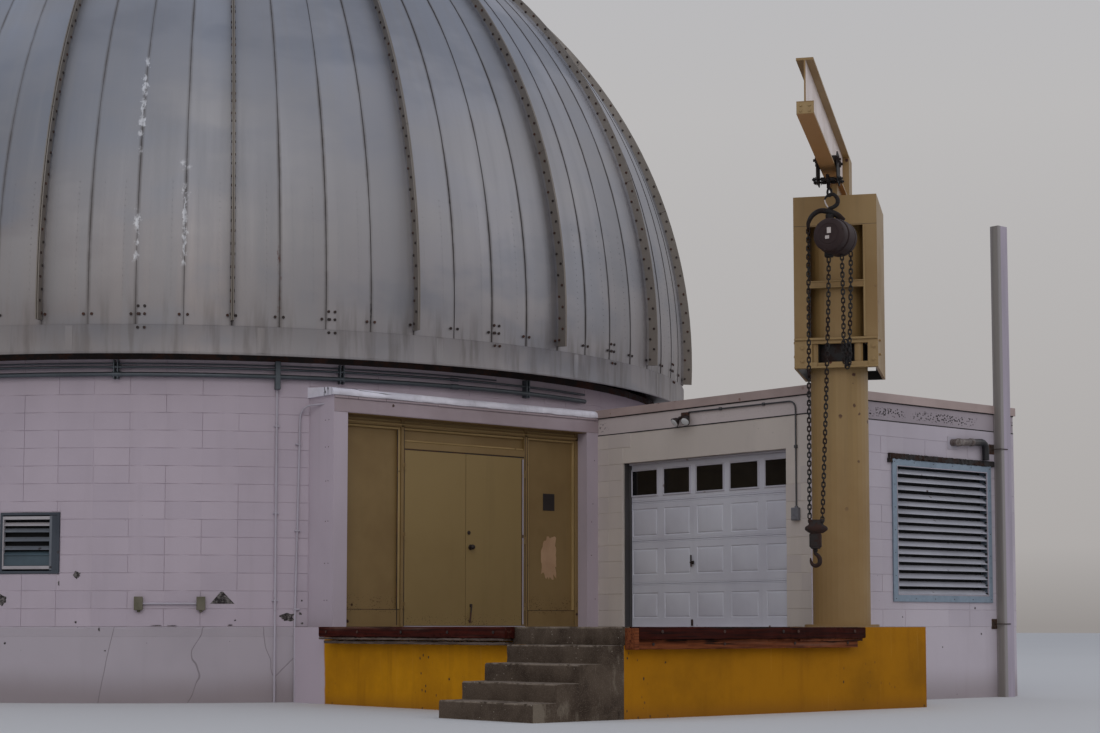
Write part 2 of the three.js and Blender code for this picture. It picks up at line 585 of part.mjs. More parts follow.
// Openings in the front of the head, bottom to top: the rollers' and two tall ones
const frontOpenings = [
  { z: [FLOOR + 2790, FLOOR + 2991], half: HEAD.half - 110 },
  { z: [FLOOR + 3059, FLOOR + 3589], half: HEAD.half - 148 },
  { z: [FLOOR + 3668, FLOOR + 4254], half: HEAD.half - 148 },
];
const sideOpening = [-600, -60];    // along the left plate, beside the two tall openings
const tallFrom = frontOpenings[1].z[0];
const tallTo = frontOpenings[2].z[1];
const roller = { r: 60, angle: 40, plate: 16 };
const rollerZ = frontOpenings[0].z;
const rollerPlates = [rollerZ[0] - 2 * roller.plate, rollerZ[1] + roller.plate];
add(jib, 'crane_head', fuse(
  headPlate(frontOpenings[1].z[1] + 30, HEAD.t, -HEAD.back, HEAD.front, HEAD.half),
  box(-HEAD.back, HEAD.front, -HEAD.half, HEAD.half, HEAD.z1 - HEAD.t, HEAD.z1),
  cut(
    box(-HEAD.back, HEAD.front, -HEAD.half, -HEAD.half + HEAD.t, HEAD.z0, HEAD.z1),
    box(sideOpening[0], sideOpening[1], -HEAD.half - 50, 0, tallFrom, tallTo),
  ),
  box(-HEAD.back, HEAD.front, HEAD.half - HEAD.t, HEAD.half, HEAD.z0, HEAD.z1),
  cut(
    box(HEAD.front - HEAD.t, HEAD.front, -HEAD.half, HEAD.half, HEAD.z0, HEAD.z1),
    ...frontOpenings.map(({ z, half }) => box(0, 900, -half, half, z[0], z[1])),
  ),
  cut(
    box(-HEAD.back, -HEAD.back + HEAD.t, -HEAD.half, HEAD.half, HEAD.z0, HEAD.z1),
    box(-900, 0, -HEAD.half + 100, HEAD.half - 100, HEAD.z0 + 100, tallTo),
  ),
  ...rollerPlates.map((z) => headPlate(z, roller.plate, 100, HEAD.front, HEAD.half)),
  ...[-roller.angle, roller.angle].map((angle) => {
    const [x, y] = polar(PILLAR.r + roller.r + 0.5, angle);
    return upright(roller.r, x, y, rollerPlates[0], rollerPlates[1] + roller.plate, 16);
  }),
), finish.khaki);

const boomBottom = BOOM.top - BOOM.h;
const stopH = 100;                  // end stop standing on the bottom flange
const stand = { half: 30, column: [BOOM.tail, -620] };
add(jib, 'crane_boom', fuse(
  box(BOOM.tail, BOOM.tip, -BOOM.w / 2, BOOM.w / 2, boomBottom, boomBottom + BOOM.flange),
  box(BOOM.tail, BOOM.tip, -BOOM.w / 2, BOOM.w / 2, BOOM.top - BOOM.flange, BOOM.top),
  box(BOOM.tail, BOOM.tip, -BOOM.web / 2, BOOM.web / 2, boomBottom, BOOM.top),
  box(-HEAD.back, HEAD.front, -stand.half, stand.half, HEAD.z1 + GAP, boomBottom + 5),
  box(stand.column[0], stand.column[1], -BOOM.w / 2, BOOM.w / 2, HEAD.z1 + GAP, BOOM.top),
  box(BOOM.tip - 20, BOOM.tip, -BOOM.w / 2, BOOM.w / 2, boomBottom, boomBottom + BOOM.flange + stopH),
), finish.khaki);

// Trolley, chain hoist, chains and hook, travelling together along the boom
const trolleyRun = new THREE.Group();
trolleyRun.position.x = TROLLEY_AT;
jib.add(trolleyRun);
const wheelR = 45;
const wheelZ = boomBottom + BOOM.flange + wheelR;
const sidePlate = BOOM.w / 2 + 12;
const trolleyLow = boomBottom - 165;
const trolleyWheels = [];
for (const x of [-110, 110]) {
  for (const side of [-1, 1]) {
    trolleyWheels.push(bar([x, side * (BOOM.web / 2 + 22), wheelZ + GAP],
      [x, side * (sidePlate + 6), wheelZ + GAP], wheelR, 12));
  }
}
const hoist = { z: FLOOR + 3990, r: 190, back: -150, front: 100, y: 70, turn: -17 };
const cap = { r: 155, front: 200 };
const yoke = FLOOR + 4215;          // crossbar of the hoist, under the top hook
add(trolleyRun, 'hoist_trolley', fuse(
  ...trolleyWheels,
  box(-180, 180, sidePlate, sidePlate + 12, trolleyLow, boomBottom + 150),
  box(-180, 180, -sidePlate - 12, -sidePlate, trolleyLow, boomBottom + 150),
  box(-180, 180, -sidePlate - 12, sidePlate + 12, trolleyLow, trolleyLow + 20),
  box(-18, 18, -18, 18, yoke + GAP, trolleyLow + 5),
), finish.steel);

// The hoist's motor lies nearly along the boom, with a bent arm that the load chain hangs from
const motor = fuse(
  bar([hoist.back, 0, 0], [hoist.front, 0, 0], hoist.r, 24),
  bar([hoist.front - 5, 0, 0], [cap.front, 0, 0], cap.r, 24),
).rotateZ(hoist.turn * RAD).translate(0, hoist.y, hoist.z);
const armEnd = { y: -230, z: FLOOR + 4075 };
const arm = [[0, 0, yoke - 25], [0, -130, yoke - 15], [0, -205, yoke - 70], [0, armEnd.y, armEnd.z + 15]];
const outlet = { y: -35, z: hoist.z - hoist.r - 10 };
const slack = { y: [120, 190], bottom: FLOOR + 2660, half: 12 };
add(trolleyRun, 'chain_hoist', fuse(
  motor,
  box(-25, 25, -25, 60, hoist.z + 150, yoke),
  ...arm.slice(1).map((point, i) => bar(arm[i], point, 20, 8)),
  box(-22, 22, armEnd.y - 22, armEnd.y + 22, armEnd.z, armEnd.z + 35),
  box(-30, 30, outlet.y - 25, outlet.y + 25, outlet.z, hoist.z - 100),
  ...slack.y.map((y) => box(-slack.half, slack.half, y - slack.half, y + slack.half, slack.bottom,
    hoist.z - 100)),
  box(-slack.half, slack.half, slack.y[0], slack.y[1], slack.bottom, slack.bottom + 2 * slack.half),
), finish.steel);

// Hook block on the two falls of the load chain
const block = { y: -150, half: 62, deep: 50, z: [FLOOR + 790, FLOOR + 1080], hook: FLOOR + 620 };
const link = 14;                    // half width of a chain, drawn as a bar
const falls = [
  { from: armEnd, to: { y: -205, z: block.z[1] - 20 } },
  { from: outlet, to: { y: -95, z: block.z[1] - 20 } },
];
add(trolleyRun, 'chain_and_hook', fuse(
  box(-block.deep, block.deep, block.y - block.half, block.y + block.half, block.z[0], block.z[1]),
  ...falls.flatMap(({ from, to }) => [
    bar([0, from.y, from.z - GAP - 1], [0, to.y, to.z], link, 6),
    box(-link, link, from.y - link, from.y + link, from.z - 40, from.z - GAP),
  ]),
  bar([0, block.y, block.z[0] + 20], [0, block.y, block.hook], 22, 8),
), finish.steel);

// Dome: base ring with its skirt, ten flanged gores, the crown, the slit frame and shutter
const dome = new THREE.Group();
model.add(dome);

const footZ = SKIRT_TOP;
const ringUnder = rollerTop + GAP;
const baseProfile = [
  [DOME_R - 12, SKIRT_BOTTOM], [DOME_R, SKIRT_BOTTOM], [DOME_R, footZ],
  [RING_IN - 30, footZ], [RING_IN - 30, ringUnder], [DOME_R - 12, ringUnder],
];
add(dome, 'dome_base_ring', turned(baseProfile, PANELS, RIB_PHASE), finish.dome);

// A spherical patch of shell with plane side faces, from azimuth a0 to a1
const footEl = Math.asin((footZ + GAP - SPHERE_Z) / SPHERE_R) / RAD;
function shellPatch(rIn, rOut, a0, a1, columns, e0, e1, rows, footPlane) {
  const positions = [];
  const faces = [];
  const at = (layer, i, j) => layer * (columns + 1) * (rows + 1) + j * (columns + 1) + i;
  for (const radius of [rOut, rIn]) {
    for (let j = 0; j <= rows; j++) {
      for (let i = 0; i <= columns; i++) {
        const el = (e0 + (e1 - e0) * j / rows) * RAD;
        const [x, y] = polar(radius * Math.cos(el), a0 + (a1 - a0) * i / columns);
        const z = j === 0 ? footPlane : SPHERE_Z + radius * Math.sin(el);
        positions.push(x, y, z);
      }
    }
  }
  const quad = (a, b, c, d) => faces.push(a, b, c, a, c, d);
  for (let j = 0; j < rows; j++) {
    for (let i = 0; i < columns; i++) {
      quad(at(0, i, j), at(0, i + 1, j), at(0, i + 1, j + 1), at(0, i, j + 1));
      quad(at(1, i, j), at(1, i, j + 1), at(1, i + 1, j + 1), at(1, i + 1, j));
    }
    quad(at(0, 0, j), at(0, 0, j + 1), at(1, 0, j + 1), at(1, 0, j));
    quad(at(0, columns, j), at(1, columns, j), at(1, columns, j + 1), at(0, columns, j + 1));
  }
  for (let i = 0; i < columns; i++) {
    quad(at(0, i, 0), at(1, i, 0), at(1, i + 1, 0), at(0, i + 1, 0));
    quad(at(0, i, rows), at(0, i + 1, rows), at(1, i + 1, rows), at(1, i, rows));
  }
  const geometry = new THREE.BufferGeometry();
  geometry.setAttribute('position', new THREE.Float32BufferAttribute(positions, 3));
  geometry.setIndex(faces);
  return geometry;
}

// A plane rib drawn in radius and height, tapering to the crown, at one azimuth
function rib(azimuth, thick, e0, e1) {
  const outline = [];
  for (let j = 0; j <= SHELL_ROWS; j++) {
    const el = (e0 + (e1 - e0) * j / SHELL_ROWS) * RAD;
    outline.push([SPHERE_R * Math.cos(el) - 20, SPHERE_Z + SPHERE_R * Math.sin(el) - 4]);
  }
  for (let j = SHELL_ROWS; j >= 0; j--) {
    const share = j / SHELL_ROWS;
    const el = (e0 + (e1 - e0) * share) * RAD;
    const out = SPHERE_R + RIB_OUT * (1 - 0.45 * share);
    outline.push([out * Math.cos(el), SPHERE_Z + out * Math.sin(el)]);
  }
  return sidePrism(outline, thick[0], thick[1]).rotateZ(azimuth * RAD);
}

const slitBox = box(-SLIT_PAST, 9000, -SLIT_HALF, SLIT_HALF, footZ + 60, 14000);
slitBox.rotateZ(SLIT_ANGLE * RAD);
const goreSweep = 36;
const GORES = 360 / goreSweep;
const seam = 0.006;                 // degrees kept open between neighbouring gores
for (let k = 0; k < GORES; k++) {
  const a0 = RIB_PHASE + k * goreSweep + seam;
  const a1 = RIB_PHASE + (k + 1) * goreSweep - seam;
  const columns = PANELS / GORES;
  let gore = fuse(
    shellPatch(SPHERE_R - SHELL, SPHERE_R, a0, a1, columns, footEl, CROWN_EL, SHELL_ROWS, footZ + GAP),
    rib(a0, [1, RIB_THICK + 1], footEl + 0.4, CROWN_EL - 1),
    rib((a0 + a1) / 2, [-RIB_THICK / 2, RIB_THICK / 2], footEl + 0.4, CROWN_EL - 1),
  );
  if (k <= 2 || k === GORES - 1) gore = cut(gore, slitBox);
  add(dome, `dome_gore_${k + 1}`, gore, finish.dome);
}

// Crown plate closing the top, cut by the slit
const crown = [];
for (let j = 0; j <= 3; j++) {
  const el = (CROWN_EL + 0.01 + (90 - CROWN_EL - 0.01) * j / 3) * RAD;
  crown.push([SPHERE_R * Math.cos(el), SPHERE_Z + SPHERE_R * Math.sin(el)]);
}
crown[3][0] = 0;
for (let j = 3; j >= 0; j--) {
  const el = (CROWN_EL + 0.01 + (90 - CROWN_EL - 0.01) * j / 3) * RAD;
  crown.push([(SPHERE_R - SHELL) * Math.cos(el), SPHERE_Z + (SPHERE_R - SHELL) * Math.sin(el)]);
}
crown[4][0] = 0;
add(dome, 'dome_crown', cut(turned(crown, PANELS / 2, RIB_PHASE), slitBox), finish.dome);

// Slit frame: two arched rails just inside the slit, tied at the foot and at the top end
const backEl = 90 + Math.asin(SLIT_PAST / SPHERE_R) / RAD;
function arch(rIn, rOut, e0, e1, steps, y0, y1) {
  const outline = [];
  for (let j = 0; j <= steps; j++) {
    const el = (e0 + (e1 - e0) * j / steps) * RAD;
    outline.push([rOut * Math.cos(el), SPHERE_Z + rOut * Math.sin(el)]);
  }
  for (let j = steps; j >= 0; j--) {
    const el = (e0 + (e1 - e0) * j / steps) * RAD;
    outline.push([rIn * Math.cos(el), SPHERE_Z + rIn * Math.sin(el)]);
  }
  return sidePrism(outline, y0, y1);
}
const railOut = SLIT_HALF - 0.5;
const railFoot = -2.6;
const railTop = backEl - 0.3;
const slitFrame = fuse(
  arch(SPHERE_R - 190, SPHERE_R + 60, railFoot, railTop, 16, railOut - SLIT_RAIL, railOut),
  arch(SPHERE_R - 190, SPHERE_R + 60, railFoot, railTop, 16, -railOut, -railOut + SLIT_RAIL),
  arch(SPHERE_R - 190, SPHERE_R + 45, railTop - 0.8, railTop, 1, -railOut, railOut),
  arch(SPHERE_R - 190, SPHERE_R + 45, railFoot, railFoot + 0.8, 1, -railOut, railOut),
).rotateZ(SLIT_ANGLE * RAD);
add(dome, 'slit_frame', slitFrame, finish.dome);
add(dome, 'slit_shutter',
  arch(SPHERE_R + 60 + GAP, SPHERE_R + 60 + GAP + 40, railFoot, railTop, 16,
    -SLIT_HALF + GAP, SLIT_HALF - GAP).rotateZ(SLIT_ANGLE * RAD), finish.dome);

export default model;
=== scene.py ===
# Looks of an observatory building: a ribbed metal dome on a round block wall, with its entrance
# portal, equipment room, dock and jib crane. Metres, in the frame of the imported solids.
import math
import bpy
import numpy as np
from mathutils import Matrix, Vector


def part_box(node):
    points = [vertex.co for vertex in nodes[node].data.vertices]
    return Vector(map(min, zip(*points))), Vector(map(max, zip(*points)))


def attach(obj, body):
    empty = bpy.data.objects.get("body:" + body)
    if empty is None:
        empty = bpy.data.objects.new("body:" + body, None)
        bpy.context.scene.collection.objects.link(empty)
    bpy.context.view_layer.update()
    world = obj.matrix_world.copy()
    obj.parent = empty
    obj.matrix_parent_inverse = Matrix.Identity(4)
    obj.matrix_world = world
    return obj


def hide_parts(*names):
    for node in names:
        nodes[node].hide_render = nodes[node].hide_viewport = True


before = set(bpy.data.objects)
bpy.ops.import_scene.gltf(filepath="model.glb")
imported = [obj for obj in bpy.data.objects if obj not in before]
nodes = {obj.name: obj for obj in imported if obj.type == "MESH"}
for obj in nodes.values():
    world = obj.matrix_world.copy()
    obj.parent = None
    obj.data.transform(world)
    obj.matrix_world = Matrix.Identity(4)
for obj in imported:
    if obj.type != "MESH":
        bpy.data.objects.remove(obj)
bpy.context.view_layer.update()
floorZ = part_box("floor_slab")[1].z
print("stage: frame loaded")


# Shapes. A shell is a pair: points, an (n, 3) array, and faces, a list of index arrays.

def joined(shells):
    # several shells as one: points stacked, indices moved on by the points before them
    points, faces, before = [], [], 0
    for shellPoints, shellFaces in shells:
        points.append(np.asarray(shellPoints, float))
        faces += [np.asarray(group) + before for group in shellFaces]
        before += len(shellPoints)
    return np.concatenate(points), faces


def gridFaces(rows, columns, closed=False):
    # quads between neighbouring rows and columns, with the last column tied to the first if closed
    span = columns if closed else columns - 1
    i, j = np.meshgrid(np.arange(span), np.arange(rows - 1))
    a = j * columns + i
    b = j * columns + (i + 1) % columns
    return np.stack([a, b, b + columns, a + columns], -1).reshape(-1, 4)


def thick(outer, inner):
    # a sheet with thickness: outer grid, inner grid turned round, and the four rims between them
    rows, columns = outer.shape[:2]
    size = rows * columns
    face = gridFaces(rows, columns)
    index = np.arange(size).reshape(rows, columns)
    rims = []
    for edge in (index[0], index[:, -1], index[-1, ::-1], index[::-1, 0]):
        rims.append(np.stack([edge[:-1], edge[:-1] + size, edge[1:] + size, edge[1:]], -1))
    points = np.concatenate([outer.reshape(-1, 3), inner.reshape(-1, 3)])
    return points, [np.concatenate([face, face[:, ::-1] + size] + rims)]


def swept(rings, closedPath=False):
    # a profile carried along a path: rings is (steps, corners, 3), capped at both ends if it is open
    steps, corners = rings.shape[:2]
    faces = [gridFaces(steps, corners, closed=True)]
    if closedPath:
        last = (steps - 1) * corners + np.arange(corners)
        first = np.arange(corners)
        faces.append(np.stack([last, np.roll(last, -1), np.roll(first, -1), first], -1))
    else:
        faces += [np.arange(corners)[None, ::-1],
                  ((steps - 1) * corners + np.arange(corners))[None]]
    return rings.reshape(-1, 3), faces


def tube(path, radius, sides=12, normal=(0, 0, 1)):
    # circles of the given radius set square to a path that keeps off its normal direction
    path = np.asarray(path, float)
    along = np.gradient(path, axis=0)
    along /= np.linalg.norm(along, axis=1)[:, None]
    across = np.cross(np.broadcast_to(normal, along.shape), along)
    across /= np.linalg.norm(across, axis=1)[:, None]
    up = np.cross(along, across)
    turn = np.linspace(0, 2 * np.pi, sides, endpoint=False)
    size = np.broadcast_to(np.asarray(radius, float), (len(path),))[:, None, None]
    ring = across[:, None] * np.cos(turn)[None, :, None] + up[:, None] * np.sin(turn)[None, :, None]
    return swept(path[:, None] + ring * size)


def rounded(points, radius, steps=6):
    # a route through points with its corners turned as arcs that start one radius from each corner
    points = [np.asarray(p, float) for p in points]
    route = [points[0]]
    for before, corner, after in zip(points, points[1:], points[2:]):
        toward = (before - corner) / np.linalg.norm(before - corner)
        away = (after - corner) / np.linalg.norm(after - corner)
        share = np.linspace(0, 1, steps)[:, None]
        start, end = corner + toward * radius, corner + away * radius
        route += list((1 - share) ** 2 * start + 2 * share * (1 - share) * corner + share ** 2 * end)
    route.append(points[-1])
    return np.array(route)


def lathe(profile, steps, start=0.0, end=360.0):
    # a closed profile of radius and height turned about the dome's axis
    profile = np.asarray(profile, float)
    whole = abs(end - start - 360) < 1e-6
    turn = np.radians(np.linspace(start, end, steps + 1))
    if whole:
        turn = turn[:-1]
    rings = np.stack([
        profile[None, :, 0] * np.cos(turn)[:, None],
        profile[None, :, 0] * np.sin(turn)[:, None],
        np.broadcast_to(profile[None, :, 1], (len(turn), len(profile))),
    ], -1)
    return swept(rings, closedPath=whole)


def cube(chamfer):
    # corners of a unit cube, each split in three so that edges and corners are cut off
    sign = np.array([[x, y, z] for x in (-1, 1) for y in (-1, 1) for z in (-1, 1)], float)
    sides = np.repeat(sign, 3, axis=0)
    inset = 1 - np.tile(np.eye(3), (8, 1))
    quads = []
    for axis in range(3):
        others = [a for a in range(3) if a != axis]
        for s in (-1, 1):
            ring = [c for c in range(8) if sign[c, axis] == s]
            ring.sort(key=lambda c: math.atan2(sign[c, others[1]], sign[c, others[0]]))
            quads.append([3 * c + axis for c in ring])
        for sa in (-1, 1):
            for sb in (-1, 1):
                pair = [c for c in range(8) if sign[c, others[0]] == sa and sign[c, others[1]] == sb]
                quads.append([3 * pair[0] + others[0], 3 * pair[1] + others[0],
                              3 * pair[1] + others[1], 3 * pair[0] + others[1]])
    triangles = [[3 * c, 3 * c + 1, 3 * c + 2] for c in range(8)]
    shape = sides * 0.5 - sides * inset * 0.1
    faces = []
    for group in (quads, triangles):
        outward = []
        for face in group:
            a, b, c = shape[face[0]], shape[face[1]], shape[face[2]]
            middle = shape[face].mean(0)
            outward.append(face if np.dot(np.cross(b - a, c - a), middle) > 0 else face[::-1])
        faces.append(np.array(outward))
    return sides, inset * chamfer, faces


def copies(points, faces, count):
    # the same faces for each of count copies of the points, which are (count, n, 3)
    step = points.shape[1]
    shift = np.arange(count) * step
    grown = [(group[None] + shift[:, None, None]).reshape(-1, group.shape[1]) for group in faces]
    return points.reshape(-1, 3), grown


def blocks(low, high, chamfer=0.004):
    # boxes from (n, 3) lowest corners to (n, 3) highest corners, with their edges cut off
    low, high = np.atleast_2d(low).astype(float), np.atleast_2d(high).astype(float)
    sides, inset, faces = cube(chamfer)
    middle, half = (low + high) / 2, (high - low) / 2
    cut = np.minimum(inset[None], half[:, None] * 0.9)
    points = middle[:, None] + sides[None] * (half[:, None] - cut)
    return copies(points, faces, len(low))


def box(x0, x1, y0, y1, z0, z1, chamfer=0.004):
    return blocks([[x0, y0, z0]], [[x1, y1, z1]], chamfer)


def bars(spans, *rest):
    # one box for each pair of from and to along x, all with the same y, z and chamfer
    return [box(*span, *rest) for span in spans]


def placed(shell, origins, along, up):
    # copies of a shell at (n, 3) origins, its x laid along one direction and its z along another
    points, faces = shell
    origins = np.atleast_2d(origins).astype(float)
    x = np.broadcast_to(np.asarray(along, float), origins.shape)
    z = np.broadcast_to(np.asarray(up, float), origins.shape)
    x = x / np.linalg.norm(x, axis=1)[:, None]
    z = z - (x * z).sum(1)[:, None] * x
    z = z / np.linalg.norm(z, axis=1)[:, None]
    base = np.stack([x, np.cross(z, x), z], 1)
    moved = origins[:, None] + np.einsum("pi,nij->npj", points, base)
    return copies(moved, faces, len(origins))


def spun(profile, sides, centre=(0, 0, 0), along=(1, 0, 0), across=(0, 1, 0)):
    # a round body: pairs of distance and radius turned about a line through centre
    along, across = np.array(along, float), np.array(across, float)
    turn = np.linspace(0, 2 * np.pi, sides, endpoint=False)[:, None]
    ring = across * np.cos(turn) + np.cross(along, across) * np.sin(turn)
    return swept(np.array([centre + along * at + ring * radius for at, radius in profile]))


def disc(radius, depth, sides=6):
    # a bolt or rivet head along x: a round or six-sided plate with its outer edge cut off
    return spun(((0, radius), (depth * 0.85, radius), (depth, radius * 0.88)), sides)


def heads(radius, depth, sides, places, out):
    # bolt or rivet heads at places, each standing out of its face along out
    return placed(disc(radius, depth, sides), places, out, (0, 0, 1))


def cylinder(a, b, radius, sides=32, rim=0.004):
    # a round bar from a to b with both rims cut off
    a, b = np.asarray(a, float), np.asarray(b, float)
    length = np.linalg.norm(b - a)
    axis = (b - a) / length
    side = np.cross(axis, (0, 0, 1) if abs(axis[2]) < 0.9 else (0, 1, 0))
    profile = ((0, radius - rim), (rim, radius), (length - rim, radius), (length, radius - rim))
    return spun(profile, sides, a, axis, side / np.linalg.norm(side))


def turnedAbout(shell, degrees, centre=(0, 0, 0)):
    # a shell turned about the upright line through the origin and then moved to centre
    points, faces = shell
    c, s = math.cos(math.radians(degrees)), math.sin(math.radians(degrees))
    x, y, z = points.T
    return np.stack([centre[0] + x * c - y * s, centre[1] + x * s + y * c, z + centre[2]], -1), faces


def outwards(shell):
    # the same shell with its faces turned round if its volume comes out negative
    points, faces = shell
    volume = 0.0
    for group in faces:
        for k in range(1, group.shape[1] - 1):
            a, b, c = points[group[:, 0]], points[group[:, k]], points[group[:, k + 1]]
            volume += np.einsum("ij,ij->i", a, np.cross(b, c)).sum()
    return (points, faces) if volume > 0 else (points, [group[:, ::-1] for group in faces])


def piece(name, shells, finish, replaced=(), smooth=30, body="building", tones=None):
    # one object from shells; tones gives one number a point, kept as the attribute named tone
    points, faces = joined([outwards(shell) for shell in (shells if isinstance(shells, list) else [shells])])
    mesh = bpy.data.meshes.new(name)
    corners = np.concatenate([group.reshape(-1) for group in faces]).astype(np.int32)
    sizes = np.concatenate([np.full(len(group), group.shape[1]) for group in faces])
    starts = np.concatenate([[0], np.cumsum(sizes)[:-1]]).astype(np.int32)
    mesh.vertices.add(len(points))
    mesh.vertices.foreach_set("co", points.astype(np.float32).ravel())
    mesh.loops.add(len(corners))
    mesh.polygons.add(len(sizes))
    mesh.polygons.foreach_set("loop_start", starts)
    mesh.polygons.foreach_set("vertices", corners)
    mesh.update(calc_edges=True)
    mesh.validate()
    if tones is not None:
        mesh.attributes.new("tone", "FLOAT", "POINT").data.foreach_set("value", tones.astype(np.float32))
    mesh.polygons.foreach_set("use_smooth", np.full(len(mesh.polygons), smooth > 0))
    if smooth:
        mesh.set_sharp_from_angle(angle=math.radians(smooth))
    made = bpy.data.objects.new(name, mesh)
    bpy.context.scene.collection.objects.link(made)
    made.data.materials.append(finishes[finish])
    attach(made, body)
    if replaced:
        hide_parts(*replaced)


# Materials. Shader maths is written as expressions on wrapped sockets.

class Value:
    # a socket whose operators add Math nodes to the same tree
    def __init__(self, finish, socket):
        self.finish, self.socket = finish, socket

    def math(self, operation, *others, first=None):
        values = (self if first is None else first, *others)
        return self.finish.node("Math", {"operation": operation}, dict(enumerate(values)))

    def __add__(self, other):
        return self.math("ADD", other)

    def __sub__(self, other):
        return self.math("SUBTRACT", other)

    def __rsub__(self, other):
        return self.math("SUBTRACT", self, first=other)

    def __mul__(self, other):
        return self.math("MULTIPLY", other)

    def __truediv__(self, other):
        return self.math("DIVIDE", other)

    __radd__ = __add__
    __rmul__ = __mul__


class Finish:
    # one material: its nodes come from node(), and what the surface shows goes through paint()
    def __init__(self, name, **fixed):
        self.material = bpy.data.materials.new(name)
        self.material.use_nodes = True
        self.tree = self.material.node_tree
        self.shader = self.tree.nodes["Principled BSDF"]
        for key, value in fixed.items():
            self.shader.inputs[key.replace("_", " ")].default_value = value
        self.position = self.node("TexCoord", output="Object")

    def node(self, kind, settings=None, sockets=None, output=0):
        made = self.tree.nodes.new("ShaderNode" + kind)
        for key, value in (settings or {}).items():
            setattr(made, key, value)
        shown = [s for s in made.inputs if s.enabled]
        for key, value in (sockets or {}).items():
            socket = shown[key] if isinstance(key, int) else next(s for s in shown if s.name == key)
            self.feed(socket, value)
        outs = [s for s in made.outputs if s.enabled]
        chosen = outs[output] if isinstance(output, int) else next(s for s in outs if s.name == output)
        return Value(self, chosen)

    def feed(self, socket, value):
        if isinstance(value, Value):
            self.tree.links.new(value.socket, socket)
        elif socket.type == "RGBA":
            socket.default_value = (*value, 1)
        else:
            socket.default_value = value

    def axes(self):
        # x, y and z of the object's own coordinates
        split = self.node("SeparateXYZ", None, {0: self.position})
        return [Value(self, output) for output in split.socket.node.outputs]

    def mapped(self, stretch, shift, vector):
        return self.node("Mapping", None, {"Vector": vector or self.position, "Location": shift,
                                           "Scale": stretch})

    def noise(self, scale, detail=3, rough=0.55, stretch=(1, 1, 1), shift=(0, 0, 0), vector=None):
        return self.node("TexNoise", None, {"Vector": self.mapped(stretch, shift, vector), "Scale": scale,
                                            "Detail": detail, "Roughness": rough})

    def cells(self, scale, feature="F1", stretch=(1, 1, 1), shift=(0, 0, 0), vector=None, output="Distance"):
        return self.node("TexVoronoi", {"feature": feature},
                         {"Vector": self.mapped(stretch, shift, vector), "Scale": scale}, output)

    def between(self, value, low, high, start=0.0, end=1.0):
        # start below low, end above high, and a smooth rise between them
        return self.node("MapRange", {"interpolation_type": "SMOOTHSTEP"},
                         {"Value": value, "From Min": low, "From Max": high, "To Min": start, "To Max": end})

    def below(self, value, low, high):
        # 1 below low and 0 above high
        return self.between(value, low, high, 1.0, 0.0)

    def band(self, value, middle, half, soft):
        # 1 within half of the middle, falling to 0 over soft
        away = (value - middle).math("ABSOLUTE")
        return self.below(away, half, half + soft)

    def mix(self, share, first, second):
        return self.node("Mix", {"data_type": "RGBA"}, {"Factor": share, "A": first, "B": second})

    def paint(self, colour=None, rough=None, metal=None, bump=None, depth=0.002, strength=1.0):
        for name, value in (("Base Color", colour), ("Roughness", rough), ("Metallic", metal)):
            if value is not None:
                self.feed(self.shader.inputs[name], value)
        if bump is not None:
            made = self.node("Bump", None, {"Height": bump, "Distance": depth, "Strength": strength})
            self.tree.links.new(made.socket, self.shader.inputs["Normal"])
        return self.material


def seen(red, green, blue, gain=2.0):
    # the surface colour that shows as this screen colour under the scene's soft light
    return tuple(min(1.0, (c / 255) ** 2.2 * gain) for c in (red, green, blue))


# Finishes

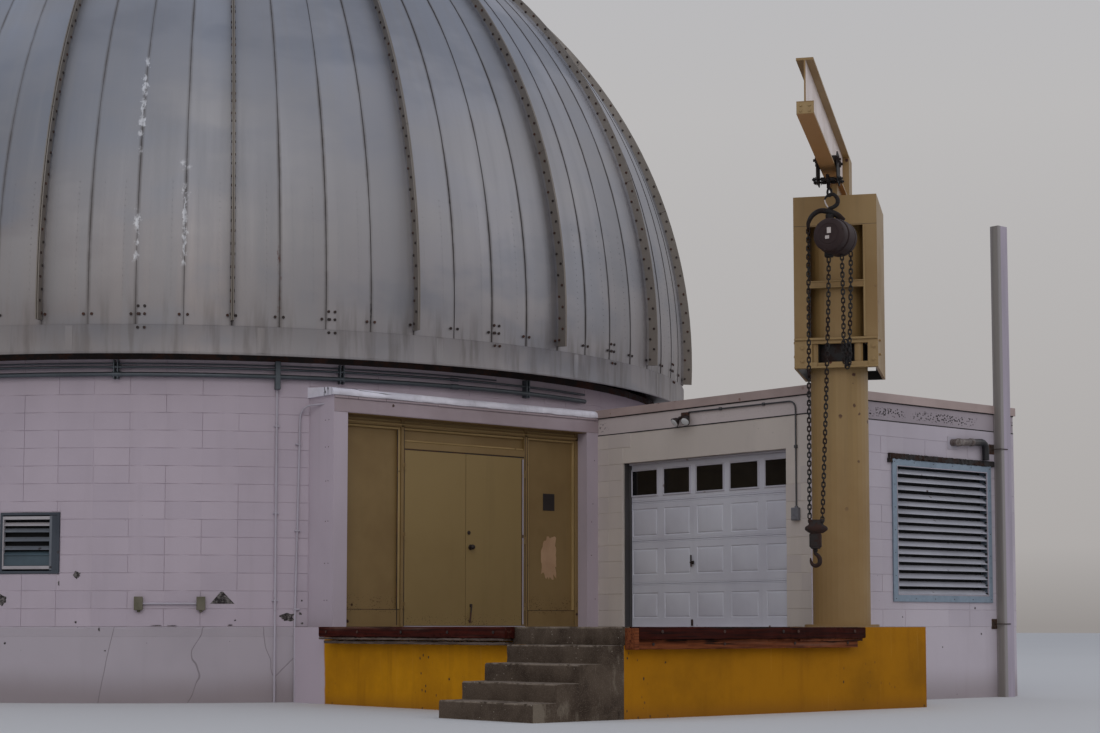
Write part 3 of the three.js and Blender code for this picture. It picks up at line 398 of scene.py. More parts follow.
def blockPaint(name, base, seed, cracks=False):
    # worn masonry paint: soft stains, rain streaks, fine pits, chips down to dark block low down
    wall = Finish(name)
    height = wall.axes()[2] - floorZ
    stain = wall.noise(0.55, 4, 0.6, (1, 1, 0.6), (seed, 0, 0))
    colour = wall.mix(wall.between(stain, 0.35, 0.7), base, tuple(c * 0.86 for c in base))
    streak = wall.noise(5.0, 3, 0.6, (1, 1, 0.07), (0, seed, 0))
    colour = wall.mix(wall.between(streak, 0.52, 0.8) * 0.13, colour, seen(104, 95, 98))
    tone = wall.node("Attribute", {"attribute_name": "tone"}, output="Fac")
    colour = wall.mix(wall.between(tone, 0, 1, 0.0, 0.16), colour, seen(116, 108, 118))
    chip = wall.cells(3.1, shift=(seed, 1, 2))
    low = wall.between(height, -0.15, 0.75, 1.0, 0.12)
    ragged = wall.noise(34, 3, 0.7)
    chips = wall.below(chip + (ragged - 0.5) * 0.12, 0.035, 0.05) * wall.between(
        wall.noise(0.8, 2, shift=(0, 0, seed)) * low, 0.3, 0.36)
    speck = wall.below(wall.cells(9.0, shift=(2, seed, 5)), 0.028, 0.04)
    chips = chips.math("MAXIMUM", speck * wall.between(wall.noise(0.5, 1, shift=(seed, 7, 0)), 0.55, 0.6))
    colour = wall.mix(chips, colour, seen(38, 34, 33))
    damp = wall.below(height + (stain - 0.5) * 0.5, -0.86, -0.45)
    colour = wall.mix(damp * 0.45, colour, seen(78, 66, 60))
    pits = wall.noise(60, 4, 0.7)
    relief = pits * 0.35 + wall.noise(9, 2) * 0.65 - chips * 1.2
    if cracks:
        bent = wall.noise(1.3, 2, 0.5, shift=(3, seed, 1)) * 0.45
        web = wall.cells(0.62, "DISTANCE_TO_EDGE", (1, 1, 0.55), (seed, 2, 4),
                         vector=wall.node("VectorMath", {"operation": "ADD"},
                                          {0: wall.position, 1: bent}, "Vector"))
        line = wall.below(web, 0.001, 0.0035) * wall.between(
            wall.noise(0.6, 2, shift=(9, 1, seed)), 0.45, 0.6)
        colour = wall.mix(line * 0.5, colour, seen(70, 64, 64))
        relief = relief - line * 1.5
    return wall.paint(colour, wall.between(stain, 0.3, 0.7, 0.72, 0.9), bump=relief, depth=0.0015)


wallColour = seen(138, 128, 135)
finishes = {
    "block": blockPaint("block_paint", wallColour, 1.0),
    # painted light: the garage's walls take a warmer copy of the wall paint for the warm light bounced onto them, the
    # room's outer walls a lighter copy for the stronger light on them
    "blockWarmPaintedLight": blockPaint("block_paint_warm_painted_light", seen(154, 146, 139), 6.0),
    "blockBrightPaintedLight": blockPaint("block_paint_bright_painted_light", seen(144, 137, 143), 8.0),
    "render": blockPaint("rendered_paint", seen(130, 123, 128), 4.0, cracks=True),
}


def domeMetal(name):
    # mill-finish aluminium gone dull: each panel its own tint, soft clouds and streaks, a thin dark
    # line and a little grime at each seam, stains at a few seams; and painted reflections: sky and
    # ground tones by height, dark and bright cloud patches, a lighter band over one side, browner rib faces
    metal = Finish(name)
    x, y, z = metal.axes()
    azimuth = y.math("ARCTAN2", x) * (180 / math.pi)
    along = (azimuth - domeSet["phase"]) / domeSet["panel"]
    number = along.math("FLOOR")
    place = along - number
    lot = metal.node("TexWhiteNoise", {"noise_dimensions": "1D"}, {"W": number}, "Value")
    edge = place.math("MINIMUM", 1 - place)
    radial = metal.node("CombineXYZ", None, {"X": azimuth * 0.12, "Y": 0.0, "Z": z})
    streak = metal.noise(6.0, 4, 0.6, (1, 1, 0.05), vector=radial)
    cloud = metal.noise(0.22, 3, 0.55)
    # painted reflection: a warmer tone low down, partly weathering and partly as of the ground, and a lighter, bluer
    # tone towards the crown as of the sky
    low = metal.below(z, domeSet["skirtTop"], domeSet["skirtTop"] + 2.6)
    high = metal.between(z, domeSet["skirtTop"] + 2.2, domeSet["skirtTop"] + 4.6)
    colour = metal.mix(high, metal.mix(low, (0.262, 0.264, 0.283), (0.352, 0.312, 0.300)), (0.40, 0.415, 0.46))
    # painted reflection: a lighter band over one side of the dome, as of a brighter part of the sky
    east = metal.between(azimuth, -130, -98) * metal.below(azimuth, -70, -40)
    colour = metal.mix(east * 0.55, colour, (0.46, 0.445, 0.465))
    # painted reflection: large dark bluish and bright warm patches, as of clouds
    cloudReflection = metal.noise(0.42, 4, 0.55, (1, 1, 1.9), (2, 5, 1))
    colour = metal.mix(metal.between(cloudReflection, 0.38, 0.52, 0.5, 0.0), colour, (0.235, 0.255, 0.30))
    colour = metal.mix(metal.between(cloudReflection, 0.5, 0.66, 0.0, 0.5), colour, (0.42, 0.395, 0.385))
    colour = metal.mix(metal.between(lot, 0, 1, 0.0, 0.34), colour, (0.25, 0.243, 0.252))
    colour = metal.mix(metal.between(streak, 0.42, 0.75) * 0.32, colour, (0.41, 0.405, 0.415))
    colour = metal.mix(metal.between(cloud, 0.42, 0.7) * 0.3, colour, (0.215, 0.206, 0.206))
    mottle = metal.noise(9.0, 4, 0.7, (1, 1, 0.5), vector=radial)
    panel = metal.between(z, domeSet["skirtTop"] - 0.002, domeSet["skirtTop"] + 0.002)
    rim = metal.below(edge, 0.004, 0.075) * panel
    grime = rim * metal.between(metal.noise(2.2, 3, 0.6, (1, 1, 0.3), vector=radial), 0.3, 0.62)
    colour = metal.mix(grime * metal.between(mottle, 0.3, 0.6, 0.25, 0.6), colour, (0.125, 0.105, 0.092))
    colour = metal.mix(metal.between(edge, 0.005, 0.011, 0.7, 0.0) * panel, colour, (0.05, 0.043, 0.038))
    foot = metal.below(z, domeSet["skirtTop"], domeSet["skirtTop"] + 0.5) * metal.between(
        metal.noise(7, 3, 0.6, (1, 1, 0.12), vector=radial), 0.45, 0.68)
    colour = metal.mix(foot * 0.4, colour, (0.15, 0.128, 0.114))
    colour = stains(metal, colour, azimuth, z)
    distance = metal.node("VectorMath", {"operation": "DISTANCE"},
                          {0: metal.position, 1: (0.0, 0.0, domeSet["centre"])}, "Value")
    # painted reflection: the ribs' faces browner, as of the ground
    rib = metal.between(distance, domeSet["radius"] + 0.018, domeSet["radius"] + 0.030) * metal.between(
        z, domeSet["skirtTop"] + 0.02, domeSet["skirtTop"] + 0.06)
    colour = metal.mix(rib * 0.8, colour, (0.262, 0.228, 0.192))
    rough = metal.between(streak, 0.35, 0.75, 0.46, 0.58) + cloud * 0.08 + grime * 0.15
    relief = metal.noise(1.4, 2, 0.5, (1, 1, 0.35), vector=radial) + metal.noise(30, 2) * 0.02
    return metal.paint(colour, rough, 0.9, relief, 0.006, 0.6)


# Stains at the seams: azimuth, half width in degrees, from height, to height, colour and strength
seamStains = [
    (-128.55, 0.42, 4.98, 5.75, (0.66, 0.66, 0.68), 0.8), (-128.6, 0.48, 6.25, 7.5, (0.66, 0.66, 0.68), 0.8),
    (-124.05, 0.42, 4.95, 5.90, (0.66, 0.66, 0.68), 0.8), (-124.0, 1.0, 6.08, 6.19, (0.64, 0.64, 0.66), 0.8),
    (-115.0, 0.30, 4.42, 5.30, (0.13, 0.06, 0.045), 0.7), (-106.0, 0.14, 4.33, 4.66, (0.02, 0.018, 0.017), 0.85),
    (-97.0, 0.10, 5.2, 6.3, (0.04, 0.035, 0.03), 0.7),
]


def stains(metal, colour, azimuth, z):
    # each stain is a narrow band of azimuth over a range of heights, broken up by noise
    broken = metal.noise(17, 5, 0.75, (1, 1, 0.45))
    patchy = metal.between(metal.noise(5.5, 3, 0.6, shift=(1, 1, 3)), 0.44, 0.58)
    for at, half, low, high, tint, strength in seamStains:
        near = (azimuth - at).math("ABSOLUTE") + (0.5 - broken) * half * 4.4
        share = metal.below(near, half * 0.25, half * 0.5) * metal.between(
            z, low - 0.03, low + 0.05) * metal.below(z, high - 0.05, high + 0.03)
        colour = metal.mix(share * patchy * strength, colour, tint)
    return colour


def agedPaint(name, base, worn, rust, seed, rough=0.55, rustHeight=None, size=1.0, specks=None):
    # a coat of paint on steel: faded patches, runs of dirt, rust spots that crowd low down, and
    # fine dark specks over a band of heights
    coat = Finish(name)
    z = coat.axes()[2]
    fade = coat.noise(0.9 * size, 4, 0.6, shift=(seed, 0, 0))
    colour = coat.mix(coat.between(fade, 0.35, 0.7), base, worn)
    run = coat.noise(7 * size, 3, 0.6, (1, 1, 0.06), (0, seed, 0))
    colour = coat.mix(coat.between(run, 0.55, 0.85) * 0.3, colour, tuple(c * 0.62 for c in base))
    spot = coat.cells(7 * size, shift=(seed, 3, 0)) + (coat.noise(40 * size, 3, 0.7) - 0.5) * 0.16
    crowd = coat.noise(1.6 * size, 2, 0.6, (1, 1, 0.5), (1, 0, seed))
    if rustHeight is not None:
        low, high = rustHeight
        crowd = crowd * coat.between(z, low, high, 1.35, 0.72)
    spots = coat.below(spot, 0.10, 0.17) * coat.between(crowd, 0.5, 0.66)
    if specks is not None:
        low, high = specks
        band = coat.between(z, low - 0.05, low + 0.02) * coat.below(z, high, high + 0.12)
        fine = coat.cells(46, shift=(4, 4, seed)) + (coat.noise(5, 2) - 0.5) * 0.5
        spots = spots.math("MAXIMUM", coat.between(fine, 0.16, 0.24, 0.85, 0.0) * band)
    colour = coat.mix(spots, colour, rust)
    relief = coat.noise(3 * size, 3) * 0.6 + coat.noise(90 * size, 2) * 0.12 + spots * 0.4
    roughness = coat.between(fade, 0.3, 0.7, rough - 0.06, rough + 0.1) + spots * 0.3
    return coat.paint(colour, roughness, None, relief, 0.0015)


def rustySteel(name, base, rust, seed, metal=0.5, rough=0.62):
    # bare dark steel with blooms of rust
    steel = Finish(name)
    bloom = steel.noise(5, 5, 0.7, shift=(seed, 0, 0))
    fine = steel.noise(45, 3, 0.7, shift=(0, seed, 0))
    share = steel.between(bloom + (fine - 0.5) * 0.25, 0.45, 0.62)
    colour = steel.mix(share, base, rust)
    colour = steel.mix(steel.between(fine, 0.35, 0.75) * 0.4, colour, tuple(c * 0.5 for c in rust))
    return steel.paint(colour, steel.between(share, 0, 1, rough - 0.12, rough + 0.2),
                       steel.between(share, 0, 1, metal, 0.05), fine * 0.5 + bloom, 0.002)


def zincCoat(name, base, seed):
    # galvanised sheet: spangle, dull patches and a few rust freckles
    zinc = Finish(name)
    spangle = zinc.cells(26, output="Color", shift=(seed, 0, 0))
    grain = zinc.node("SeparateColor", None, {"Color": spangle})
    dull = zinc.noise(1.5, 4, 0.6, shift=(0, seed, 0))
    colour = zinc.mix(grain * 0.35, base, tuple(c * 0.72 for c in base))
    colour = zinc.mix(zinc.between(dull, 0.5, 0.75) * 0.5, colour, tuple(c * 0.55 for c in base))
    freckle = zinc.below(zinc.cells(11, shift=(1, seed, 2)), 0.05, 0.09) * zinc.between(
        zinc.noise(2, 2, shift=(seed, 4, 4)), 0.52, 0.6)
    colour = zinc.mix(freckle * 0.8, colour, (0.10, 0.05, 0.03))
    return zinc.paint(colour, zinc.between(dull, 0.3, 0.7, 0.38, 0.6), 0.75, zinc.noise(3, 3), 0.002)


def timber(name, base, dark, along, seed):
    # sawn timber: grain drawn out along the length, checks and worn patches
    wood = Finish(name, Specular_IOR_Level=0.15)
    flat = {"x": (0.05, 1, 1), "y": (1, 0.05, 1)}[along]
    grain = wood.noise(38, 5, 0.65, flat, (seed, 0, 0))
    worn = wood.noise(2.6, 5, 0.7, flat, (0, seed, 0))
    colour = wood.mix(wood.between(grain, 0.35, 0.7), base, dark)
    colour = wood.mix(wood.between(worn, 0.55, 0.7) * 0.7, colour, seen(92, 72, 62))
    check = wood.between(wood.noise(11, 3, 0.5, flat, (2, 2, seed)), 0.62, 0.66)
    colour = wood.mix(check * 0.85, colour, (0.012, 0.008, 0.007))
    return wood.paint(colour, 0.85, None, grain * 0.6 - check * 1.6, 0.004)


def oldConcrete(name, base, seed):
    # weathered concrete: blotches and exposed grit
    rock = Finish(name, Specular_IOR_Level=0.25)
    blotch = rock.noise(1.6, 5, 0.65, shift=(seed, 0, 0))
    grit = rock.cells(85, shift=(0, seed, 0))
    colour = rock.mix(rock.between(blotch, 0.35, 0.7), base, tuple(c * 0.55 for c in base))
    colour = rock.mix(rock.between(grit, 0.1, 0.45, 0.4, 0.0), colour, tuple(min(1, c * 1.9) for c in base))
    relief = blotch + grit * 0.35 + rock.noise(24, 4, 0.7) * 0.5
    return rock.paint(colour, 0.92, None, relief, 0.006)


def ochrePaint():
    # ochre paint on the dock's sides, its front face in darker copies as painted shade, white by the drum, bare worn
    # concrete on top
    ochre = Finish("dock_paint_and_painted_shade", Specular_IOR_Level=0.2)
    y, z = ochre.axes()[1:]
    blotch = ochre.noise(1.1, 5, 0.65)
    # painted shade: the front face takes darker copies of the ochre than the left side
    front = ochre.below(y, -11.598, -11.59)
    bright = ochre.mix(front, seen(144, 99, 4), seen(122, 81, 0))
    dull = ochre.mix(front, seen(126, 85, 2), seen(105, 70, 0))
    colour = ochre.mix(ochre.between(blotch, 0.35, 0.7), bright, dull)
    run = ochre.noise(5, 4, 0.65, (1, 1, 0.09))
    colour = ochre.mix(ochre.between(run, 0.5, 0.76) * 0.3, colour, seen(82, 50, 10))
    thin = ochre.noise(16, 4, 0.7, (1, 1, 0.06), (3, 0, 0))
    colour = ochre.mix(ochre.between(thin, 0.6, 0.74) * 0.16, colour, seen(150, 112, 52))
    speck = ochre.below(ochre.cells(15, stretch=(1, 1, 0.7)) + (ochre.noise(50, 3) - 0.5) * 0.16, 0.12, 0.18)
    speck = speck * ochre.between(ochre.noise(1.9, 3, stretch=(1, 1, 0.35), shift=(0, 5, 0)), 0.55, 0.62)
    chip = ochre.below(ochre.cells(5, shift=(6, 0, 1)) + (ochre.noise(34, 4) - 0.5) * 0.16, 0.05, 0.075)
    chip = chip * ochre.between(ochre.noise(0.9, 2, shift=(0, 5, 3)), 0.5, 0.56)
    colour = ochre.mix(speck.math("MAXIMUM", chip), colour, seen(52, 40, 30))
    low = ochre.below(z + blotch * 0.2, 0.02, 0.28)
    colour = ochre.mix(low * 0.6, colour, seen(86, 56, 26))
    white = ochre.between(y + blotch * 0.1, -6.615, -6.585)
    colour = ochre.mix(white, colour, wallColour)
    top = ochre.between(z, floorZ - 0.004, floorZ - 0.001)
    grit = ochre.mix(ochre.between(blotch, 0.35, 0.7), seen(96, 88, 84), seen(74, 64, 60))
    colour = ochre.mix(top, colour, grit)
    relief = blotch * 0.8 + ochre.noise(30, 4, 0.7) * 0.5 - chip * 0.8
    return ochre.paint(colour, 0.85, None, relief, 0.004)


def stepConcrete():
    # the steps: stained dark risers, paler noses and treads, streaks and pale stains on the near side
    rock = Finish("step_concrete", Specular_IOR_Level=0.25)
    y, z = rock.axes()[1:]
    blotch = rock.noise(1.9, 5, 0.65)
    grit = rock.cells(85)
    colour = rock.mix(rock.between(blotch, 0.35, 0.7), seen(64, 55, 47), seen(42, 34, 28))
    near = rock.below(y, -11.598, -11.594)
    stain = rock.noise(3.4, 5, 0.7, (1, 1, 0.4), (5, 0, 0))
    colour = rock.mix(near * rock.between(stain, 0.5, 0.62) * 0.75, colour, seen(92, 84, 74))
    colour = rock.mix(near * rock.below(stain, 0.34, 0.44) * 0.7, colour, seen(28, 22, 18))
    share = (z / (floorZ / 5)).math("FRACT")
    nose = rock.between(share, 0.88, 0.95) + rock.below(share, 0.0, 0.03)
    worn = rock.between(rock.noise(5, 4, 0.7, shift=(0, 2, 0)), 0.36, 0.56)
    colour = rock.mix(nose.math("MINIMUM", 1.0) * worn * (1 - near) * 0.6, colour, seen(104, 94, 84))
    chip = rock.below(rock.cells(19) + (rock.noise(60, 3) - 0.5) * 0.16, 0.07, 0.11)
    chip = chip * rock.between(rock.noise(2.4, 3, shift=(0, 7, 0)), 0.5, 0.58)
    colour = rock.mix(chip, colour, seen(120, 112, 102))
    colour = rock.mix(rock.between(grit, 0.1, 0.45, 0.35, 0.0), colour, seen(98, 88, 78))
    relief = blotch + grit * 0.35 + rock.noise(24, 4, 0.7) * 0.5
    return rock.paint(colour, 0.92, None, relief, 0.006)


def plainGlass():
    # near-black panes with a faint haze
    glass = Finish("dark_pane", Roughness=0.08, IOR=1.45)
    haze = glass.noise(6, 3)
    return glass.paint(glass.mix(glass.between(haze, 0.4, 0.7) * 0.4, (0.006, 0.006, 0.007), (0.02, 0.018, 0.016)))


domeSet = {
    "radius": 6.854, "centre": floorZ + 3.803, "phase": 6.5, "panel": 4.5, "panels": 80, "crown": 80.0,
    "skirtRadius": 6.870, "skirtTop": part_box("dome_base_ring")[1].z,
    "skirtBottom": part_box("dome_base_ring")[0].z,
    "slitAngle": 51.5, "slitHalf": 1.0,
}
finishes.update({
    "dome": domeMetal("dome_aluminium_and_painted_reflection"),
    "shutter": zincCoat("shutter_aluminium", (0.335, 0.335, 0.345), 7.0),
    "olive": agedPaint("olive_paint_worn", seen(98, 80, 50), seen(90, 72, 44), seen(40, 20, 10), 2.0,
                       rustHeight=(floorZ, floorZ + 0.45), specks=(floorZ + 0.18, floorZ + 0.30)),
    "garage": agedPaint("garage_door_paint", seen(152, 152, 158), seen(142, 141, 148), seen(70, 50, 42), 7.0,
                        rough=0.45, rustHeight=(floorZ, floorZ + 0.12)),
    "white": agedPaint("white_trim_paint", seen(132, 127, 134), seen(120, 114, 120), seen(60, 44, 38), 8.0),
    "coping": agedPaint("coping_paint", seen(131, 116, 112), seen(118, 104, 100), seen(80, 52, 44), 9.0),
    "steel": rustySteel("dark_rusty_steel", (0.035, 0.028, 0.026), (0.075, 0.028, 0.016), 1.0),
    "tube": zincCoat("weathered_conduit", (0.115, 0.13, 0.145), 3.0),
    "redTimber": timber("red_timber_worn", seen(44, 16, 9), seen(24, 9, 5), "x", 1.0),
    "brownTimber": timber("brown_timber_worn", seen(92, 52, 32), seen(54, 28, 18), "x", 3.0),
    "concrete": stepConcrete(),
    "slab": oldConcrete("floor_concrete", seen(92, 86, 82), 5.0),
    "ochre": ochrePaint(),
    "glass": plainGlass(),
})
print("stage: finishes made")


# Dome: panels with lapped seams, flanged ribs with their bolts, skirt, crown, slit and shutter

def onSphere(azimuth, elevation, radius):
    # points of the dome's sphere: azimuth and elevation in degrees, radius from its centre
    a, e = np.radians(azimuth), np.radians(elevation)
    a, e, radius = np.broadcast_arrays(a, e, radius)
    return np.stack([radius * np.cos(e) * np.cos(a), radius * np.cos(e) * np.sin(a),
                     domeSet["centre"] + radius * np.sin(e)], -1)


def slitEdge(azimuth, clear):
    # the elevation at which a meridian meets the side of the slit, or the crown if it doesn't
    apart = abs((azimuth - domeSet["slitAngle"] + 180) % 360 - 180)
    if apart >= 90:
        return domeSet["crown"]
    share = clear / domeSet["radius"] / max(math.sin(math.radians(apart)), 1e-6)
    return min(domeSet["crown"], math.degrees(math.acos(share)) if share < 1 else -90.0)


footAngle = math.degrees(math.asin((domeSet["skirtTop"] - domeSet["centre"]) / domeSet["radius"]))
panelSet = {"rows": 40, "lap": 0.007, "crown": 0.004, "thick": 0.03, "across": (0, 0.03, 0.25, 0.5, 0.75, 0.97, 1)}


def panelShell(number):
    # one rolled panel: its left edge laps over its neighbour, its middle stands a little proud
    a0 = domeSet["phase"] + number * domeSet["panel"]
    a1 = a0 + domeSet["panel"]
    top = max(slitEdge(a0, domeSet["slitHalf"]), slitEdge(a1, domeSet["slitHalf"]))
    if top < footAngle + 1:
        return None
    elevation = np.linspace(footAngle + 0.02, top - 0.05, panelSet["rows"])[:, None]
    reach = np.degrees(np.arcsin(np.minimum(1, domeSet["slitHalf"] / domeSet["radius"]
                                            / np.cos(np.radians(elevation)))))
    middle = ((a0 + a1) / 2 - domeSet["slitAngle"] + 180) % 360 - 180
    left = np.full_like(elevation, middle - domeSet["panel"] / 2)
    right = np.full_like(elevation, middle + domeSet["panel"] / 2)
    if abs(middle) < 90:
        if middle > 0:
            left = np.minimum(np.maximum(left, reach), right - 0.02)
        else:
            right = np.maximum(np.minimum(right, -reach), left + 0.02)
    share = np.array(panelSet["across"])[None]
    azimuth = domeSet["slitAngle"] + left + (right - left) * share
    radius = domeSet["radius"] + panelSet["lap"] * (1 - share) + panelSet["crown"] * 4 * share * (1 - share)
    outer = onSphere(azimuth, elevation, radius - 0.006)
    inner = onSphere(azimuth, elevation, np.full_like(azimuth, domeSet["radius"] - panelSet["thick"]))
    return thick(outer, inner)


ribSet = {"out": 0.146, "taper": 0.45, "plate": 0.014, "apart": 0.005, "splice": 21.0, "bolt": 2.25,
          "rows": (0.30, 0.68), "head": (0.017, 0.012)}


def ribOut(elevation):
    # how far a rib stands out from the sphere, less towards the crown
    share = (elevation - footAngle) / (domeSet["crown"] - footAngle)
    return ribSet["out"] * (1 - ribSet["taper"] * share)


def ribTop(azimuth):
    # the elevation where a rib ends: short of the crown, or a little before the slit's side
    return min(slitEdge(azimuth, domeSet["slitHalf"] + 0.02), domeSet["crown"] - 0.8)


def ribShells(azimuth):
    # two plates side by side, in lengths with a narrow splice between them
    a = math.radians(azimuth)
    side = np.array([-math.sin(a), math.cos(a), 0])
    shells, first = [], footAngle + 0.45
    top = ribTop(azimuth)
    while first < top - 0.5:
        last = min(first + ribSet["splice"], top)
        elevation = np.linspace(first, last - 0.03, 12)
        low = onSphere(azimuth, elevation, domeSet["radius"] - 0.012)
        for sign, extra in ((-1, 0.0), (1, -0.005)):
            high = onSphere(azimuth, elevation, domeSet["radius"] + ribOut(elevation) + extra)
            near = side * sign * ribSet["apart"] / 2
            far = side * sign * (ribSet["apart"] / 2 + ribSet["plate"])
            rings = np.stack([low + near, high + near, high + far, low + far], 1)
            shells.append(swept(rings))
        first = last
    return shells


def boltHeads(azimuths):
    # hexagon heads in two staggered rows on both faces of every rib
    origins, along, up = [], [], []
    for azimuth in azimuths:
        a = math.radians(azimuth)
        side = np.array([-math.sin(a), math.cos(a), 0])
        top = ribTop(azimuth) - 0.6
        for row, share in enumerate(ribSet["rows"]):
            elevation = np.arange(footAngle + 1.1 + row * ribSet["bolt"] / 2, top, ribSet["bolt"])
            if not len(elevation):
                continue
            out = domeSet["radius"] + ribOut(elevation) * share
            middle = onSphere(azimuth, elevation, out)
            for sign in (-1, 1):
                origins.append(middle + side * sign * (ribSet["apart"] / 2 + ribSet["plate"] - 0.002))
                along.append(np.broadcast_to(side * sign, middle.shape))
                up.append(middle - (0, 0, domeSet["centre"]))
    radius, depth = ribSet["head"]
    return placed(disc(radius, depth, 6), np.concatenate(origins), np.concatenate(along),
                  np.concatenate(up))


def seamBolts():
    # black bolts: one each side of every seam's foot, and a block of six at every fourth panel
    azimuths, heights = [], []
    for i in range(domeSet["panels"]):
        seam = domeSet["phase"] + i * domeSet["panel"]
        azimuths += [seam - 0.42, seam + 0.36]
        heights += [0.12, 0.12]
        if i % 4 == 2:
            for column in (0.24, 0.86):
                azimuths += [seam + column] * 3
                heights += [0.21, 0.12, -0.035]
    azimuths, heights = np.array(azimuths), np.array(heights)
    angle = np.degrees(np.arcsin((domeSet["skirtTop"] + heights - domeSet["centre"]) / domeSet["radius"]))
    radius = np.where(heights > 0, domeSet["radius"] + 0.001, domeSet["skirtRadius"] + 0.012)
    middle = onSphere(azimuths, angle, radius)
    return heads(0.017, 0.013, 8, middle, middle - (0, 0, domeSet["centre"]))


def panelRivets():
    # small rivets in two faint columns on the lower part of every panel
    i, column, k = np.meshgrid(np.arange(domeSet["panels"]), (0.27, 0.72), np.arange(19), indexing="ij")
    azimuth = domeSet["phase"] + (i + column) * domeSet["panel"]
    elevation = footAngle + 2.6 + k * 0.62 + column * 0.3
    clear = np.abs((azimuth - domeSet["slitAngle"] + 180) % 360 - 180) > 9.5
    middle = onSphere(azimuth[clear], elevation[clear], domeSet["radius"] + 0.0005)
    return heads(0.006, 0.003, 6, middle, middle - (0, 0, domeSet["centre"]))


skirtSet = {"laps": 20, "lapAt": 2.4, "lapWide": 0.7}


def skirtShells():
    # the skirt's sheet with a rolled lip at its foot, the sill above it, and the strips at its laps
    r, low, high = domeSet["skirtRadius"], domeSet["skirtBottom"], domeSet["skirtTop"]
    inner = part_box("roller_ring")[1].x - 0.22
    profile = [(r - 0.012, low), (r - 0.002, low), (r, low + 0.004), (r, low + 0.022), (r - 0.006, low + 0.026),
               (r - 0.006, high - 0.012), (r - 0.002, high), (r - 0.05, high + 0.0), (inner, high),
               (inner, low + 0.235), (r - 0.012, low + 0.235)]
    shells = [lathe(profile, 240)]
    strip = [(r - 0.008, low + 0.03), (r - 0.0035, low + 0.03), (r - 0.0035, high - 0.014),
             (r - 0.008, high - 0.014)]
    for k in range(skirtSet["laps"]):
        start = domeSet["phase"] + skirtSet["lapAt"] + k * 360 / skirtSet["laps"]
        shells.append(lathe(strip, 3, start, start + skirtSet["lapWide"]))
    return shells


def addDome():
    # ten pieces of eight panels and two ribs each, then the bolts, rivets and skirt
    gores = 10
    for k in range(gores):
        shells = [panelShell(k * 8 + i) for i in range(8)]
        shells = [s for s in shells if s is not None]
        shells += ribShells(domeSet["phase"] + k * 36) + ribShells(domeSet["phase"] + k * 36 + 18)
        piece(f"dome_panels_{k + 1}", shells, "dome", [f"dome_gore_{k + 1}"], smooth=22, body="dome")
    ribs = [domeSet["phase"] + 18 * i for i in range(20)]
    ribs = [a for a in ribs if ribTop(a) > footAngle + 3]
    piece("rib_bolts", boltHeads(ribs), "steel", body="dome")
    piece("seam_bolts", seamBolts(), "steel", body="dome")
    piece("panel_rivets", panelRivets(), "dome", body="dome")
    piece("dome_skirt", skirtShells(), "dome", ["dome_base_ring"], body="dome")
    print("stage: dome panels, ribs and skirt made")


addDome()


# Walls: blocks laid one above the other, as plates that stand a little out of the solid wall
wallSet = {
    "drumAcross": 100, "drumPhase": 0.23, "drumFlat": 6.516, "length": 0.4064, "course": 0.2032,
    "joint": 0.005, "deep": 0.02, "proud": 0.0045, "uneven": 0.0008, "edge": 0.002, "least": 0.02,
}
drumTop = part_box("drum_wall_1")[1].z
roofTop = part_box("portal_roof")[1].z
dice = np.random.default_rng(11)


def courseBlocks(start, end, low, high, length, phase=0.0):
    # stack bond over a strip of wall: (from, to, bottom, top) of each block, cut at the strip's ends
    found = []
    course = wallSet["course"]
    for k in range(math.floor((low - floorZ) / course + 1e-6), math.ceil((high - floorZ) / course - 1e-6)):
        bottom, top = max(low, floorZ + k * course), min(high, floorZ + (k + 1) * course)
        first = math.floor((start - phase) / length + 1e-6)
        last = math.ceil((end - phase) / length - 1e-6)
        for i in range(first, last):
            found.append((max(start, phase + i * length), min(end, phase + (i + 1) * length), bottom, top))
    return found


def cutOut(found, left, right, low, high):
    # the same blocks less a rectangle, a cut block left as the pieces beside, under and over it
    kept = []
    for a, b, bottom, top in found:
        if b <= left or a >= right or top <= low or bottom >= high:
            kept.append((a, b, bottom, top))
            continue
        kept += [(a, left, bottom, top), (right, b, bottom, top)]
        kept += [(max(a, left), min(b, right), bottom, low), (max(a, left), min(b, right), high, top)]
    return [(a, b, bottom, top) for a, b, bottom, top in kept if b > a and top - bottom > wallSet["least"]]


def jointAt(edge, low, filled):
    # what an upright joint takes off a block: less than nothing where paint fills the joint, and the
    # same choice for the blocks on both sides of it, from the joint's own place
    lot = np.modf(np.abs(np.sin(np.round(edge, 4) * 12.9898 + np.round(low, 3) * 78.233)) * 43758.5453)[0]
    return np.where(lot < filled, -1.3 * wallSet["edge"], wallSet["joint"] / 2)


def plates(found, scale=1.0, filled=0.0, mirrored=False):
    # each block as a box about its own middle: x along the wall, y out of it, z up
    a, b, low, high = np.array(found).T
    half = np.maximum((b - a) * scale, 3 * wallSet["joint"]) / 2
    left, right = half - jointAt(a, low, filled), half - jointAt(b, low, filled)
    if mirrored:
        left, right = right, left
    out = wallSet["proud"] + dice.uniform(-1, 1, len(a)) * wallSet["uneven"]
    sink = np.full(len(a), -wallSet["deep"])
    points, faces = blocks(np.stack([-left, sink, low + wallSet["joint"] / 2], -1),
                           np.stack([right, out, high - wallSet["joint"] / 2], -1), wallSet["edge"])
    return points.reshape(len(a), -1, 3), faces, (a + b) / 2


